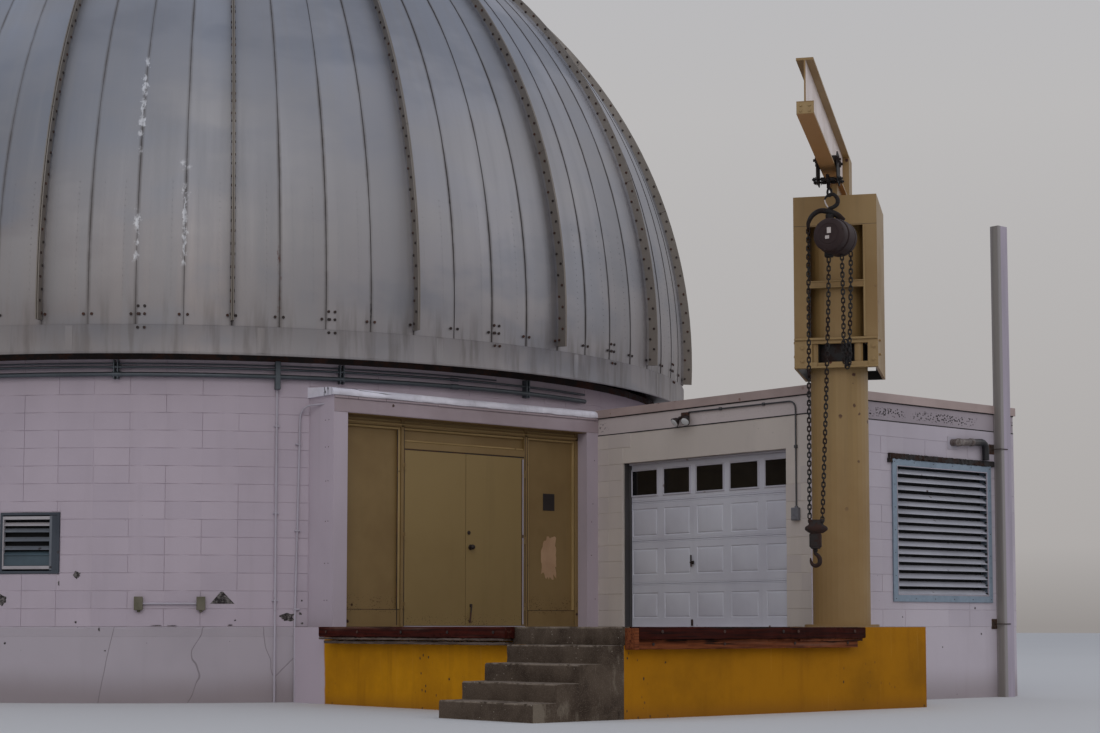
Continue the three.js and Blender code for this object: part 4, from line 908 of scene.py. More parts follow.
def laidFlat(found, origin, outward, filled=0.8):
    # a flat wall: distance along it runs from the origin, to the right of somebody facing out
    points, faces, middle = plates(found, filled=filled)
    along = np.cross(outward, (0, 0, 1))
    moved = points[..., :1] * along + points[..., 1:2] * outward + points[..., 2:] * (0, 0, 1)
    moved = moved + middle[:, None, None] * along + np.array(origin)
    return moved.reshape(-1, 3), faces


def laidRound(found):
    # the drum: distance along it is an azimuth in degrees, and each plate lies on a chord
    points, faces, middle = plates(found, math.radians(wallSet["drumFlat"]), 0.45, mirrored=True)
    turn = np.radians(middle)[:, None]
    out = wallSet["drumFlat"] + points[..., 1]
    x = out * np.cos(turn) + points[..., 0] * np.sin(turn)
    y = out * np.sin(turn) - points[..., 0] * np.cos(turn)
    return np.stack([x, y, points[..., 2]], -1).reshape(-1, 3), faces


def addWall(name, shell, finish="block"):
    # each block is 24 points and takes a tone of its own
    piece(name, shell, finish, tones=np.repeat(dice.random(len(shell[0]) // 24), 24))


drumGaps = {"window": (-142.60, -136.20, floorZ + 0.596, floorZ + 1.304), "portal": (-111.45, -33.45)}


def addWalls():
    # blocks of the drum, the garage front and the room's two outer walls, less the openings
    pitch = 360 / wallSet["drumAcross"]
    found = courseBlocks(-180, 180, floorZ, drumTop, pitch, wallSet["drumPhase"])
    found = cutOut(found, *drumGaps["window"])
    found = cutOut(found, *drumGaps["portal"], 0, roofTop + 0.012)
    addWall("drum_blocks", laidRound(found))
    low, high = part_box("garage_wall_near")
    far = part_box("garage_wall_far")
    garage = courseBlocks(far[0].y, -6.40, floorZ, high.z, wallSet["length"], -6.35)
    garage = cutOut(garage, far[1].y, low.y, 0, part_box("garage_wall_header")[0].z)
    front = courseBlocks(-5.440, -1.665, floorZ, high.z, wallSet["length"], -1.665)
    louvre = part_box("wall_louvre")
    front = cutOut(front, -louvre[1].x + 0.03, -louvre[0].x - 0.03, louvre[0].z + 0.03, louvre[1].z - 0.03)
    side = courseBlocks(3.59, 10.155, floorZ, high.z, wallSet["length"], 10.155)
    garage = [b for b in garage if not (b[2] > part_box("garage_wall_header")[0].z - 0.3 and b[1] < low.y + 0.2)]
    # the garage front in the warmer copy of the paint, painted warm light
    addWall("garage_blocks", laidFlat(garage, (low.x, 0, 0), np.array((-1.0, 0, 0)), 0.75), "blockWarmPaintedLight")
    # the room's outer walls in the lighter copy of the paint, painted light
    shells = [laidFlat(front, (0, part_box("louvre_wall")[0].y, 0), np.array((0, -1.0, 0))),
              laidFlat(side, (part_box("room_side_wall")[1].x, 0, 0), np.array((1.0, 0, 0)))]
    addWall("room_blocks", joined(shells), "blockBrightPaintedLight")


ledgeSet = {"out": 6.530, "inside": 6.34, "steps": 900, "lip": 0.006, "chips": 110, "deepest": 0.013}


def ledgeShell():
    # a ring whose top edge is rounded and knocked off in places: its corner is set in by each chip
    steps = ledgeSet["steps"]
    lost = np.zeros(steps)
    for at, wide, deep in zip(dice.integers(0, steps, ledgeSet["chips"]),
                              dice.integers(1, 7, ledgeSet["chips"]),
                              dice.uniform(0.2, 1, ledgeSet["chips"])):
        lost[np.arange(at, at + wide) % steps] = deep * ledgeSet["deepest"]
    top, bottom = floorZ - 0.001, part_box("floor_ledge")[0].z
    edge = ledgeSet["lip"] + lost + dice.uniform(0, 0.002, steps)
    out, inside = ledgeSet["out"], ledgeSet["inside"]
    radius = np.stack([np.full(steps, inside), np.full(steps, out - 0.0105), np.full(steps, out), out - edge * 0.4,
                       out - edge, np.full(steps, inside)], -1)
    height = np.stack([np.full(steps, bottom), np.full(steps, bottom), top - edge, top - edge * 0.3,
                       np.full(steps, top), np.full(steps, top)], -1)
    turn = np.linspace(0, 2 * np.pi, steps, endpoint=False)[:, None]
    return swept(np.stack([radius * np.cos(turn), radius * np.sin(turn), height], -1), closedPath=True)


def addFooting():
    # the foundation's ring and the floor's worn ledge
    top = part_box("foundation")[1].z
    ring = [(5.9, 0.0), (6.5185, 0.0), (6.5185, top), (5.9, top)]
    piece("drum_foundation", lathe(ring, 300), "render", ["foundation"], smooth=35)
    piece("worn_ledge", ledgeShell(), "render", ["floor_ledge"], smooth=35)


def ragged(across, up, seed, sides=22):
    # the outline of a scar in the paint: a circle whose radius wanders, stretched and flattened
    turn = np.linspace(0, 2 * np.pi, sides, endpoint=False)
    wander = np.random.default_rng(seed)
    radius = 0.72 + 0.5 * wander.random(sides) ** 2
    return np.stack([across * radius * np.cos(turn), up * radius * np.sin(turn)], -1)


def scarShell(outline, origin, outward, thickness=0.0016):
    # a flat shape on a wall: its outline in metres across and up, set at a point of the surface
    outward = np.array(outward, float) / np.linalg.norm(outward)
    across = np.cross(outward, (0, 0, 1))
    flat = outline[:, :1] * across + outline[:, 1:] * (0, 0, 1) + np.array(origin)
    return swept(np.stack([flat - outward * 0.006, flat + outward * thickness]))


# Scars down to dark block: azimuth on the drum, height above the floor, half width and half height
drumScars = [(-134.5, 0.585, 0.046, 0.042), (-136.2, 0.49, 0.020, 0.036), (-142.3, 0.31, 0.075, 0.065),
             (-143.6, 0.42, 0.04, 0.05), (-145.2, 0.35, 0.06, 0.04), (-113.55, 0.115, 0.085, 0.055),
             (-112.2, 0.15, 0.02, 0.015), (-112.0, 0.04, 0.018, 0.012), (-112.05, 0.30, 0.012, 0.012),
             (-132.1, -0.03, 0.010, 0.020), (-131.5, -0.27, 0.012, 0.008), (-119.2, 0.02, 0.03, 0.006),
             (-126.4, 0.015, 0.06, 0.004), (-124.9, 0.013, 0.05, 0.004), (160.0, 0.4, 0.03, 0.04),
             (120.0, 1.1, 0.02, 0.03), (75.0, 0.5, 0.05, 0.03), (200.0, 0.2, 0.04, 0.03)]
bareTriangle = {"azimuth": -120.0, "low": 0.262, "high": 0.398, "half": 0.135}


def barePaint():
    # bare block under the paint: grey grain in two tones
    bare = Finish("bare_block")
    grain = bare.cells(70)
    colour = bare.mix(bare.between(bare.noise(26, 4, 0.7), 0.42, 0.62), seen(34, 30, 30), seen(84, 80, 78))
    return bare.paint(colour, 0.95, None, grain, 0.003)


def addScars():
    # every scar as a thin dark plate on the paint, and one cut to a triangle
    surface = wallSet["drumFlat"] + wallSet["proud"] + wallSet["uneven"]
    shells = []
    for number, (azimuth, height, across, up) in enumerate(drumScars):
        turn = math.radians(azimuth)
        out = np.array([math.cos(turn), math.sin(turn), 0])
        radius = surface if height > 0.03 else 6.5185 if height < -0.11 else ledgeSet["out"]
        shells.append(scarShell(ragged(across, up, number), out * radius + (0, 0, floorZ + height), out))
    turn = math.radians(bareTriangle["azimuth"])
    out = np.array([math.cos(turn), math.sin(turn), 0])
    low, high, half = bareTriangle["low"], bareTriangle["high"], bareTriangle["half"]
    corner = np.array([(-half, low), (half, low), (0.02, high), (-0.005, high)])
    shells.append(scarShell(corner, out * (surface + 0.002) + (0, 0, floorZ), out))
    piece("paint_scars", shells, "bare", smooth=0)
    print("stage: walls laid")


finishes["bare"] = barePaint()
addWalls()
addFooting()
addScars()


# Conduits: two round the drum with their clamps, two that drop to the ground, and the two small boxes
ringLines = [(6.575, floorZ + 2.953, 0.014), (6.582, floorZ + 2.868, 0.027)]
clampAngles = [6.5 + (k + 0.5) * 4.5 for k in range(-46, -20, 5)]


def aroundDrum(radius, height, start, end, steps):
    # points of an arc about the dome's axis, from start to end in degrees
    turn = np.radians(np.linspace(start, end, steps))
    return np.stack([radius * np.cos(turn), radius * np.sin(turn), np.full(steps, height)], -1)


def onDrum(azimuth, height, out=0.0):
    # a point on the drum's painted face, height above the floor and distance out of the wall
    turn = math.radians(azimuth)
    radius = wallSet["drumFlat"] + wallSet["proud"] + out
    return np.array([radius * math.cos(turn), radius * math.sin(turn), floorZ + height])


def facing(shell, azimuth, at=(0, 0, 0)):
    # a shell drawn with x along the wall and y out of it, set at a point to face an azimuth
    return turnedAbout(shell, azimuth - 90, at)


def conduitShells():
    # each line with its joints and clamps as short wider lengths, and a pull box that closes the run
    lengths = [(-208, -76, 260, 0)] + [(at, at + 0.9, 5, 0.006) for at in (-187.0, -131.1, -96.0)]
    lengths += [(at - 0.16, at + 0.16, 4, 0.005) for at in clampAngles]
    shells = [tube(aroundDrum(radius, height, start, end, steps), size + more, 12)
              for radius, height, size in ringLines for start, end, steps, more in lengths]
    low, high = ringLines[1][1] - 0.05, ringLines[0][1] + 0.05
    shells.append(facing(box(-0.07, 0.07, 6.5205, 6.60, low, high, 0.006), -208))
    shells.append(tube(aroundDrum(6.556, floorZ + 2.995, -208, -90, 200), 0.008, 8))
    return shells


def strutShells():
    # upright channels that hold the conduits: two thin ones side by side at each place, with rungs
    inner = wallSet["drumFlat"] + 0.003
    strut = [box(inner, 6.604, side - 0.007, side + 0.007, floorZ + 2.815, floorZ + 3.035, 0.002)
             for side in (-0.022, 0.022)]
    strut += [box(inner, inner + 0.02, -0.03, 0.03, floorZ + height - 0.009, floorZ + height + 0.009, 0.002)
              for height in (2.83, 2.915, 3.0)]
    post = box(inner, 6.612, -0.03, 0.03, floorZ + 2.723, floorZ + 3.045, 0.003)
    return [turnedAbout(bar, azimuth) for azimuth in clampAngles for bar in strut] + [turnedAbout(post, -114.8)]


def dropShells():
    # the painted conduits that come down beside the portal, and their clips
    first = [onDrum(-114.8, 2.75, 0.016), onDrum(-114.8, -0.86, 0.045)]
    second = [np.array([-2.30, -6.532, floorZ + 2.56]), onDrum(-112.42, 2.54, 0.02), onDrum(-112.6, 1.2, 0.018),
              onDrum(-112.78, 0.02, 0.02), onDrum(-112.78, -0.86, 0.045)]
    clip = box(-0.032, 0.032, -0.008, 0.034, -0.008, 0.008, 0.003)
    places = [(-114.8, 2.3), (-114.8, 1.3), (-114.8, 0.3), (-112.6, 2.1), (-112.6, 1.1), (-112.6, 0.2)]
    return [tube(np.linspace(*first, 30), 0.013, 12, normal=(1, 0, 0)),
            tube(rounded(second, 0.16, 12), 0.012, 12, normal=(1, 1, 0)),
            *(facing(clip, azimuth, onDrum(azimuth, height)) for azimuth, height in places)]


def outletShells():
    # two weatherproof boxes, each a body, a lid and a spout under it
    parts = [box(-0.045, 0.045, -0.008, 0.045, -0.072, 0.072, 0.010),
             box(-0.050, 0.050, 0.045, 0.053, -0.077, 0.077, 0.004),
             box(-0.018, 0.018, 0.0, 0.03, -0.10, -0.07, 0.006)]
    return [facing(part, azimuth, onDrum(azimuth, 0.264)) for azimuth in (-128.2, -122.1) for part in parts]


def addConduits():
    piece("ring_conduits", conduitShells(), "tube", ["conduit_lines"], smooth=35)
    piece("conduit_struts", strutShells(), "tube")
    piece("drop_conduits", dropShells(), "white", smooth=35)
    piece("outlet_boxes", outletShells(), "boxes")
    link = aroundDrum(wallSet["drumFlat"] + 0.03, floorZ + 0.262, -127.9, -122.4, 14)
    piece("outlet_conduit", tube(link, 0.011, 12), "white", smooth=35)
    print("stage: conduits run")


finishes["boxes"] = agedPaint("weathered_box", seen(80, 75, 64), seen(62, 60, 46), seen(40, 36, 28), 12.0, size=3)
addConduits()


# Portal: roof sheet with its rolled front, fascia strips, soffit, door screen and the two leaves
def wandering(steps, columns, size, knots):
    # smooth random lines: random values at the knots, eased from one to the next along the steps
    values = dice.normal(0, size, (knots + 1, columns))
    at = np.linspace(0, knots - 1e-6, steps)
    low = at.astype(int)
    ease = (at - low)[:, None]
    ease = ease * ease * (3 - 2 * ease)
    return values[low] * (1 - ease) + values[low + 1] * ease


portalSet = {"left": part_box("portal_roof")[0].x, "right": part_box("portal_roof")[1].x, "front": -6.590,
             "under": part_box("portal_roof")[0].z, "rise": 0.066, "steps": 120}


def roofSheet():
    # the sheet's section, front roll first, carried across the portal and cut off along the drum
    steps = portalSet["steps"]
    x = np.linspace(portalSet["left"], portalSet["right"], steps)
    front, under = portalSet["front"], portalSet["under"]
    roll = np.array([(0.030, 0.0), (0.006, 0.002), (0.0, 0.014), (0.002, 0.036), (0.012, 0.062),
                     (0.030, 0.083), (0.055, 0.090)])
    y = np.broadcast_to(front + roll[:, 0], (steps, len(roll)))
    z = np.broadcast_to(under + roll[:, 1], (steps, len(roll)))
    back = -np.sqrt(6.5205 ** 2 - np.minimum(np.abs(x), 6.5) ** 2)[:, None]
    share = np.array([0.0, 0.35, 0.7, 1.0])[None]
    backY = (front + 0.09) * (1 - share) + back * share
    backZ = under + 0.090 + (backY - front - 0.055) * portalSet["rise"]
    y = np.concatenate([y, backY, back], 1)
    z = np.concatenate([z, backZ, np.full((steps, 1), under)], 1)
    count = y.shape[1]
    y = y + np.pad(wandering(steps, count - 1, 0.0022, 26), ((0, 0), (0, 1)))
    z = z + np.pad(wandering(steps, count - 2, 0.0022, 30), ((0, 0), (1, 1)))
    z = np.maximum(z, under)
    return swept(np.stack([np.broadcast_to(x[:, None], y.shape), y, z], -1))


def strips(edges, y0, y1, z0, z1):
    # short lengths of strip with open joints between them
    low = [(a, y0, z0 + dice.uniform(-0.003, 0.003)) for a, b in edges]
    high = [(b, y1, z1) for a, b in edges]
    return blocks(low, high, 0.0025)


def crackedSheet():
    # painted roofing sheet: milky patches and long black cracks that run along it
    sheet = Finish("cracked_roof_sheet")
    cloud = sheet.noise(2.2, 4, 0.6)
    colour = sheet.mix(sheet.between(cloud, 0.35, 0.7), seen(156, 153, 160), seen(176, 173, 180))
    lines = sheet.noise(1.0, 3, 0.5, (0.6, 7, 1), (3, 0, 0))
    torn = sheet.noise(14, 4, 0.7, (0.6, 3, 3))
    crack = sheet.band(lines + (torn - 0.5) * 0.03, 0.5, 0.007, 0.006) * sheet.between(
        sheet.noise(0.7, 2, shift=(0, 4, 1)), 0.46, 0.52)
    colour = sheet.mix(crack, colour, (0.006, 0.006, 0.007))
    grime = sheet.between(sheet.noise(6, 4, 0.7, (1, 1, 0.3)), 0.5, 0.8)
    colour = sheet.mix(grime * 0.3, colour, seen(96, 88, 88))
    return sheet.paint(colour, 0.62, None, cloud + torn * 0.2 - crack * 2, 0.003)


def addPortal():
    piece("roof_sheet", roofSheet(), "cracked", ["portal_roof"], smooth=50)
    inner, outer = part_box("portal_left_pier")[1].x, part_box("portal_right_pier")[0].x
    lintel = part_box("portal_lintel")
    cuts = [(-2.374, -2.19), (-2.187, -2.055), (-2.05, -1.66), (-1.656, -0.9), (-0.897, 0.35), (0.354, 1.3),
            (1.304, 1.655)]
    trim = [strips(cuts, lintel[0].y - 0.018, lintel[0].y, lintel[1].z - 0.028, lintel[1].z - 0.002)]
    trim.append(box(-2.374, 1.662, lintel[0].y - 0.006, lintel[0].y, lintel[0].z + 0.004, lintel[1].z - 0.034, 0.002))
    piece("fascia", trim, "fascia")
    soffit = box(inner + 0.002, outer - 0.002, lintel[0].y + 0.004, -6.392, lintel[0].z - 0.008, lintel[0].z - 0.0005)
    piece("portal_soffit", soffit, "olive", smooth=0)
    sill = box(-1.247, 0.581, -6.41, -6.30, floorZ + 0.0005, floorZ + 0.0095, 0.003)
    piece("door_threshold", sill, "white")
    nails = []
    for height in (0.30, 0.72, 1.2, 1.66, 2.05, 2.36):
        for y in (-6.40, -6.46):
            nails.append([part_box("portal_left_pier")[0].x, y + dice.uniform(-0.01, 0.01), floorZ + height])
    for height in (0.35, 0.9, 1.32, 1.55, 2.1):
        nails.append([1.57 + dice.uniform(-0.04, 0.04), -6.56, floorZ + height])
    nails = np.array(nails)
    out = np.where(nails[:, :1] > 0, [(0, -1.0, 0)], [(-1.0, 0, 0)])
    piece("pier_nails", heads(0.006, 0.003, 8, nails, out), "steel")


screenSet = {"front": -6.39, "back": -6.29, "bead": -6.374, "panel": (-6.345, -6.325), "hinges": (0.2, 1.02, 1.84),
             "leaf": 0.045, "leafLow": 0.012, "leafTop": 2.085, "sill": 0.205,
             "doorGaps": (-1.2575, 0.6005, 0.6385), "panelGaps": (-2.1075, -1.3425, 1.4285)}


def screenShells():
    # posts and rails, with the fixed panels set well back between them
    s, z = screenSet, floorZ
    low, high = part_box("door_screen")
    left, right, top = low.x, high.x, high.z
    fixed = ((-2.14, -1.26), (0.60, 1.43))
    posts = ((left, -2.132), (-1.300, -1.253), (0.587, 0.640), (1.424, right))
    return [*bars(posts, s["front"], s["back"], z + 0.0005, top, 0.003),
            *bars(fixed, s["bead"] + 0.004, s["back"], z + 0.0005, z + s["sill"]),
            *bars(fixed, *s["panel"], z + 0.1, z + 2.35, 0.002),
            box(left, right, s["front"], s["back"], z + 2.352, z + 2.405),
            box(left, right, s["bead"] + 0.006, s["back"], z + 2.40, top, 0.003),
            box(-1.256, 0.590, s["front"], s["back"], z + 2.100, z + 2.180),
            box(-1.27, 0.60, *s["panel"], z + 2.15, z + 2.35, 0.002),
            hingeShell(-1.2505, -1, 0.0453), hingeShell(0.5845, 1, 0.0453)]


def screenBeads():
    # the beads that hold the panels, in a lighter olive that is painted highlight: upright ones beside the posts and
    # flat ones under the rails
    s, z = screenSet, floorZ
    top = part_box("door_screen")[1].z
    beside = ((-2.132, -2.112), (-1.337, -1.302), (0.643, 0.674), (1.394, 1.424))
    under = ((-2.132, -1.302), (-1.252, 0.586), (0.643, 1.424))
    return [*bars(beside, s["bead"], s["back"], z + s["sill"], z + 2.322),
            *bars(under, s["bead"], s["back"], z + 2.322, z + 2.349),
            box(*under[1], s["bead"], s["back"], z + 2.183, z + 2.204),
            box(-2.17, 1.46, s["front"] - 0.003, s["front"] + 0.01, z + 2.372, z + 2.392, 0.003),
            box(-2.17, 1.46, s["bead"] - 0.002, s["back"], top - 0.05, top - 0.022, 0.003)]


def shadeGapShells():
    # dark strips, painted shade in the slits where the beads meet the posts and the rails
    s, z = screenSet, floorZ
    front, bead, sill = s["front"], s["bead"], z + s["sill"]
    return [*bars([(x - 0.0045, x + 0.0045) for x in s["doorGaps"]], front - 0.0012, front + 0.006, z + 0.01,
                  z + 2.35, 0.0008),
            *bars([(x - 0.005, x + 0.005) for x in s["panelGaps"]], bead + 0.0005, bead + 0.01, z + 0.02,
                  z + 2.322, 0.0008),
            *bars(((-2.14, -1.30), (0.645, 1.43)), bead + 0.0025, bead + 0.01, sill - 0.006, sill + 0.001, 0.0008),
            box(-1.25, 0.584, front + 0.002, s["back"], z + 2.087, z + 2.0995, 0.0008)]


def hingeShell(x, side, lift):
    # one half of each of three hinges: a knuckle on the pin's line and its plate to one side
    shells = []
    for level in screenSet["hinges"]:
        z = floorZ + level + lift
        shells += [cylinder((x, -6.399, z), (x, -6.399, z + 0.045), 0.008, 20, 0.001),
                   box(min(x, x + side * 0.036), max(x, x + side * 0.036), -6.3945, -6.3895, z, z + 0.045, 0.001)]
    return joined(shells)


def leafShells(a, b, hinge, side):
    # one door leaf from a to b, its hinge halves and the dark line at its foot
    s = screenSet
    shells = [box(a, b, s["front"], s["front"] + s["leaf"], floorZ + s["leafLow"], floorZ + s["leafTop"], 0.003)]
    shells += [hingeShell(hinge, side, 0.0),
               box(a + 0.012, b - 0.012, s["front"] - 0.0016, s["front"] + 0.002, floorZ + 0.02, floorZ + 0.028,
                   0.001)]
    return shells


def hardwareShells():
    # knob on its rose, lock cylinder above it, and the slanted foot bolt with its foot
    front, z = screenSet["front"], floorZ
    rounds = ((-0.263, 0.96, 0, 0.010, 0.033, 28, 0.004), (-0.263, 0.96, 0.008, 0.040, 0.012, 20, 0.004),
              (-0.288, 1.135, 0, 0.012, 0.024, 28, 0.004), (-0.288, 1.135, 0.010, 0.016, 0.011, 16, 0.002))
    knob = ((0.034, 0.012), (0.038, 0.024), (0.048, 0.030), (0.060, 0.029), (0.070, 0.020), (0.0735, 0.006))
    foot = [(-0.250, front - 0.012, z + 0.262), (-0.262, front - 0.016, z + 0.18),
            (-0.272, front - 0.020, z + 0.11), (-0.278, front - 0.018, z + 0.075)]
    return [*(cylinder((x, front - near, z + height), (x, front - far, z + height), radius, sides, rim)
              for x, height, near, far, radius, sides, rim in rounds),
            spun(knob, 28, (-0.263, front, z + 0.96), (0, -1, 0), (1, 0, 0)),
            tube(foot, 0.009, 12, normal=(0, 1, 0)),
            box(-0.272, -0.236, front - 0.014, front, z + 0.235, z + 0.275, 0.003),
            cylinder((-0.278, front - 0.018, z + 0.05), (-0.278, front - 0.018, z + 0.08), 0.014, 16)]


def addDoors():
    piece("screen_frame", screenShells(), "olive", ["door_screen"])
    piece("screen_beads", screenBeads(), "bead")
    # thin dark strips that paint the shade in the screen's slits
    piece("screen_painted_shade_gaps", shadeGapShells(), "steel")
    piece("left_leaf", leafShells(-1.248, -0.336, -1.2505, 1), "leaf", ["left_door"],
          body="left_leaf")
    piece("right_leaf", leafShells(-0.330, 0.582, 0.5845, -1), "leaf", ["right_door"],
          body="right_leaf")
    piece("door_hardware", hardwareShells(), "steel", smooth=40, body="right_leaf")
    front, z = screenSet["front"], floorZ
    piece("door_seal", box(0.553, 0.571, front - 0.006, front, z + 0.03, z + 2.07, 0.002), "white",
          body="right_leaf")
    piece("seal_gap", box(0.540, 0.551, front - 0.002, front, z + 0.02, z + 2.07, 0.0008), "steel",
          body="right_leaf")
    piece("blank_plate", box(0.925, 1.115, -6.3485, -6.345, z + 1.452, z + 1.665, 0.001), "darkPlate")
    patch = ragged(0.165, 0.33, 5, 40) * (0.98, 1.0)
    corner = np.clip(patch, (-0.125, -0.27), (0.125, 0.27))
    piece("bare_patch", scarShell(corner, (1.02, -6.345, z + 0.86), (0, -1, 0), 0.0012), "patch",
          smooth=0)
    print("stage: portal and doors made")


finishes.update({
    "fascia": agedPaint("fascia_paint", seen(124, 112, 116), seen(112, 100, 102), seen(52, 38, 32), 14.0),
    "leaf": agedPaint("leaf_paint", seen(103, 86, 54), seen(98, 81, 50), seen(40, 20, 10), 21.0, size=0.7,
                      rustHeight=(floorZ - 0.3, floorZ + 0.1), specks=(floorZ + 0.02, floorZ + 0.07)),
    # painted highlight: the screen's beads in a lighter copy of the olive
    "bead": agedPaint("bead_paint", seen(120, 100, 66), seen(108, 90, 58), seen(40, 20, 10), 24.0, size=1.2),
    "darkPlate": agedPaint("dark_plate", seen(26, 21, 20), seen(34, 27, 25), seen(50, 34, 26), 16.0, size=3),
    "patch": agedPaint("bare_primer", seen(134, 108, 84), seen(124, 98, 74), seen(70, 38, 24), 18.0, size=3),
    "cracked": crackedSheet(),
})
addPortal()
addDoors()


# Dock: bumpers of split timber, worn steps and the riser above them
def roughBar(low, high, axis, turned=0.012, wander=0.003, steps=90, knots=24):
    # a bar with rounded corners whose edges wander: its section carried along the axis
    low, high = np.array(low, float), np.array(high, float)
    others = [i for i in range(3) if i != axis]
    half = (high[others] - low[others]) / 2
    middle = (high[others] + low[others]) / 2
    angles = np.radians(np.array([5, 45, 85]))
    section = []
    for quarter in range(4):
        turn = angles + quarter * np.pi / 2
        sign = np.array([(1, 1), (-1, 1), (-1, -1), (1, -1)])[quarter]
        section.append(sign * (half - turned) + turned * np.stack([np.cos(turn), np.sin(turn)], -1))
    section = np.concatenate(section)
    rings = np.zeros((steps, len(section), 3))
    rings[..., axis] = np.linspace(low[axis], high[axis], steps)[:, None]
    shift = wandering(steps, len(section) * 2, wander, knots).reshape(steps, -1, 2)
    for i, other in enumerate(others):
        moved = np.minimum(np.abs(section[None, :, i] + shift[..., i]), half[i]) * np.sign(section[None, :, i])
        rings[..., other] = middle[i] + moved
    return swept(rings)


def addBumpers():
    # split timbers on the dock's left and front edges, with their bolts
    low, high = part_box("side_bumper")
    y0, y1, x0, x1, top = low.y, high.y, low.x, high.x, high.z
    piece("side_timber", roughBar((x0, y0, top - 0.113), (x1, y1, top), 1, 0.014, 0.0035), "redTimberSide",
          ["side_bumper"], smooth=50)
    boards = [roughBar((x0 + 0.004, y0 + 0.02, top - 0.139), (x1, y1, top - 0.116), 1, 0.005, 0.0035, 140, 60),
              roughBar((x0 + 0.03, y0 + 0.03, top - 0.183), (x1, y1 - 0.06, top - 0.150), 1, 0.008, 0.004, 140, 60)]
    piece("side_boards", boards, "greyTimber", smooth=50)
    low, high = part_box("front_bumper_upper")
    split = -0.42
    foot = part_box("front_bumper_lower")[1].z - 0.003
    upper = [roughBar((low.x + 0.03, low.y, foot), (split, high.y, high.z), 0, 0.013, 0.003),
             roughBar((split + 0.006, low.y + 0.006, foot), (high.x, high.y, high.z - 0.004), 0, 0.013,
                      0.003)]
    piece("front_timber", upper, "redTimber", ["front_bumper_upper"], smooth=50)
    low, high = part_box("front_bumper_lower")
    lower = [roughBar((low.x + 0.06, low.y, low.z), (high.x, high.y, high.z - 0.002), 0, 0.012, 0.004, 120, 40),
             roughBar((high.x - 0.9, low.y - 0.02, high.z - 0.03), (high.x + 0.05, high.y, high.z - 0.001), 0, 0.008,
                      0.004, 60, 20)]
    corner = box(low.x, low.x + 0.058, -11.738, high.y, low.z, floorZ - 0.012, 0.004)
    piece("corner_board", corner, "brownTimber")
    piece("front_boards", lower, "brownTimber", ["front_bumper_lower"], smooth=50)
    places = [(x, -11.7395, floorZ - 0.045) for x in (-2.18, -1.35, -0.52, -0.3, 0.55)]
    places += [(x, -11.6895, floorZ - 0.163) for x in (-2.25, -1.3, -0.3, 0.5)]
    side = [(-2.6895, y, floorZ - 0.055) for y in (-9.85, -9.1, -8.3, -7.5, -6.9)]
    out = np.array([(0, -1.0, 0)] * len(places) + [(-1.0, 0, 0)] * len(side))
    piece("bumper_bolts", heads(0.016, 0.008, 8, places + side, out), "steel")


stepSet = {"riser": floorZ / 5, "tread": 0.276, "count": 4, "nose": 0.013, "wear": 0.0028, "chips": 46}


def stepShells():
    # the stair's outline in x and z with rounded noses, carried along y with wandering wear and chips
    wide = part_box("steps")
    right = wide[1].x
    outline = [(right, 0.0), (right, stepSet["riser"] * 4)]
    loose = [0, 0]
    for i in range(stepSet["count"], 0, -1):
        level = i * stepSet["riser"]
        nose = right - (5 - i) * stepSet["tread"]
        r = stepSet["nose"]
        back = nose + stepSet["tread"]
        outline += [(back - 0.09, level), (nose + 0.09, level), (nose + r, level), (nose + r * 0.3, level - r * 0.3),
                    (nose, level - r), (nose, level - 0.06), (nose, level - 0.12)]
        loose += [0.7, 1, 1, 1.6, 1, 1, 1]
        if i > 1:
            outline.append((nose, level - stepSet["riser"] + 0.0005))
            loose.append(0.2)
    outline.append((right - 4 * stepSet["tread"], 0.0))
    loose.append(0)
    outline, loose = np.array(outline), np.array(loose)
    steps = 90
    y = np.linspace(wide[0].y, wide[1].y, steps)
    wear = wandering(steps, len(outline) * 2, stepSet["wear"], 22).reshape(steps, -1, 2) * loose[None, :, None]
    wear = -np.abs(wear) * np.array([-1, 1])
    points = outline[None] + wear
    corners = np.where(loose > 1.5)[0]
    for at, corner, deep in zip(dice.integers(2, steps - 3, stepSet["chips"]), dice.choice(corners, stepSet["chips"]),
                                dice.uniform(0.006, 0.02, stepSet["chips"])):
        points[at:at + 2, corner] += (deep, -deep)
    rings = np.stack([points[..., 0], np.broadcast_to(y[:, None], points.shape[:2]), points[..., 1]], -1)
    return swept(rings)


def addSteps():
    piece("worn_steps", stepShells(), "concrete", ["steps"], smooth=40)
    low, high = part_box("steps")
    left = low.x + 4 * stepSet["tread"] - 0.014
    riser = roughBar((left, low.y + 0.001, high.z - 0.002), (high.x + 0.05, -9.985, floorZ + 0.0015), 1, 0.008,
                     0.0022, 60, 20)
    turned = roughBar((left + 0.002, -11.604, high.z - 0.002), (-2.475, -11.56, floorZ + 0.0012), 0, 0.006,
                      0.0018, 30, 10)
    piece("top_riser", [riser, turned], "concrete", smooth=40)
    print("stage: dock and steps made")


finishes["greyTimber"] = timber("grey_timber_worn", seen(82, 72, 66), seen(50, 42, 38), "y", 6.0)
finishes["redTimberSide"] = timber("red_timber_side", seen(50, 18, 11), seen(28, 11, 7), "y", 9.0)
addBumpers()
addSteps()


# Garage door: four sections, embossed panels, and a row of panes with their beads
garageSet = {"face": 1.795, "back": 1.838, "first": -7.064, "pitch": 0.5695, "wide": 0.442, "last": -9.752,
             "rows": ((0.115, 0.417), (0.648, 0.962), (1.126, 1.462)), "panes": (1.637, 1.938),
             "joints": (0.529, 1.063, 1.550), "groove": 0.007, "proud": 0.007}
garageColumns = [(garageSet["first"] - k * garageSet["pitch"],
                  max(garageSet["first"] - k * garageSet["pitch"] - garageSet["wide"], garageSet["last"]))
                 for k in range(5)]


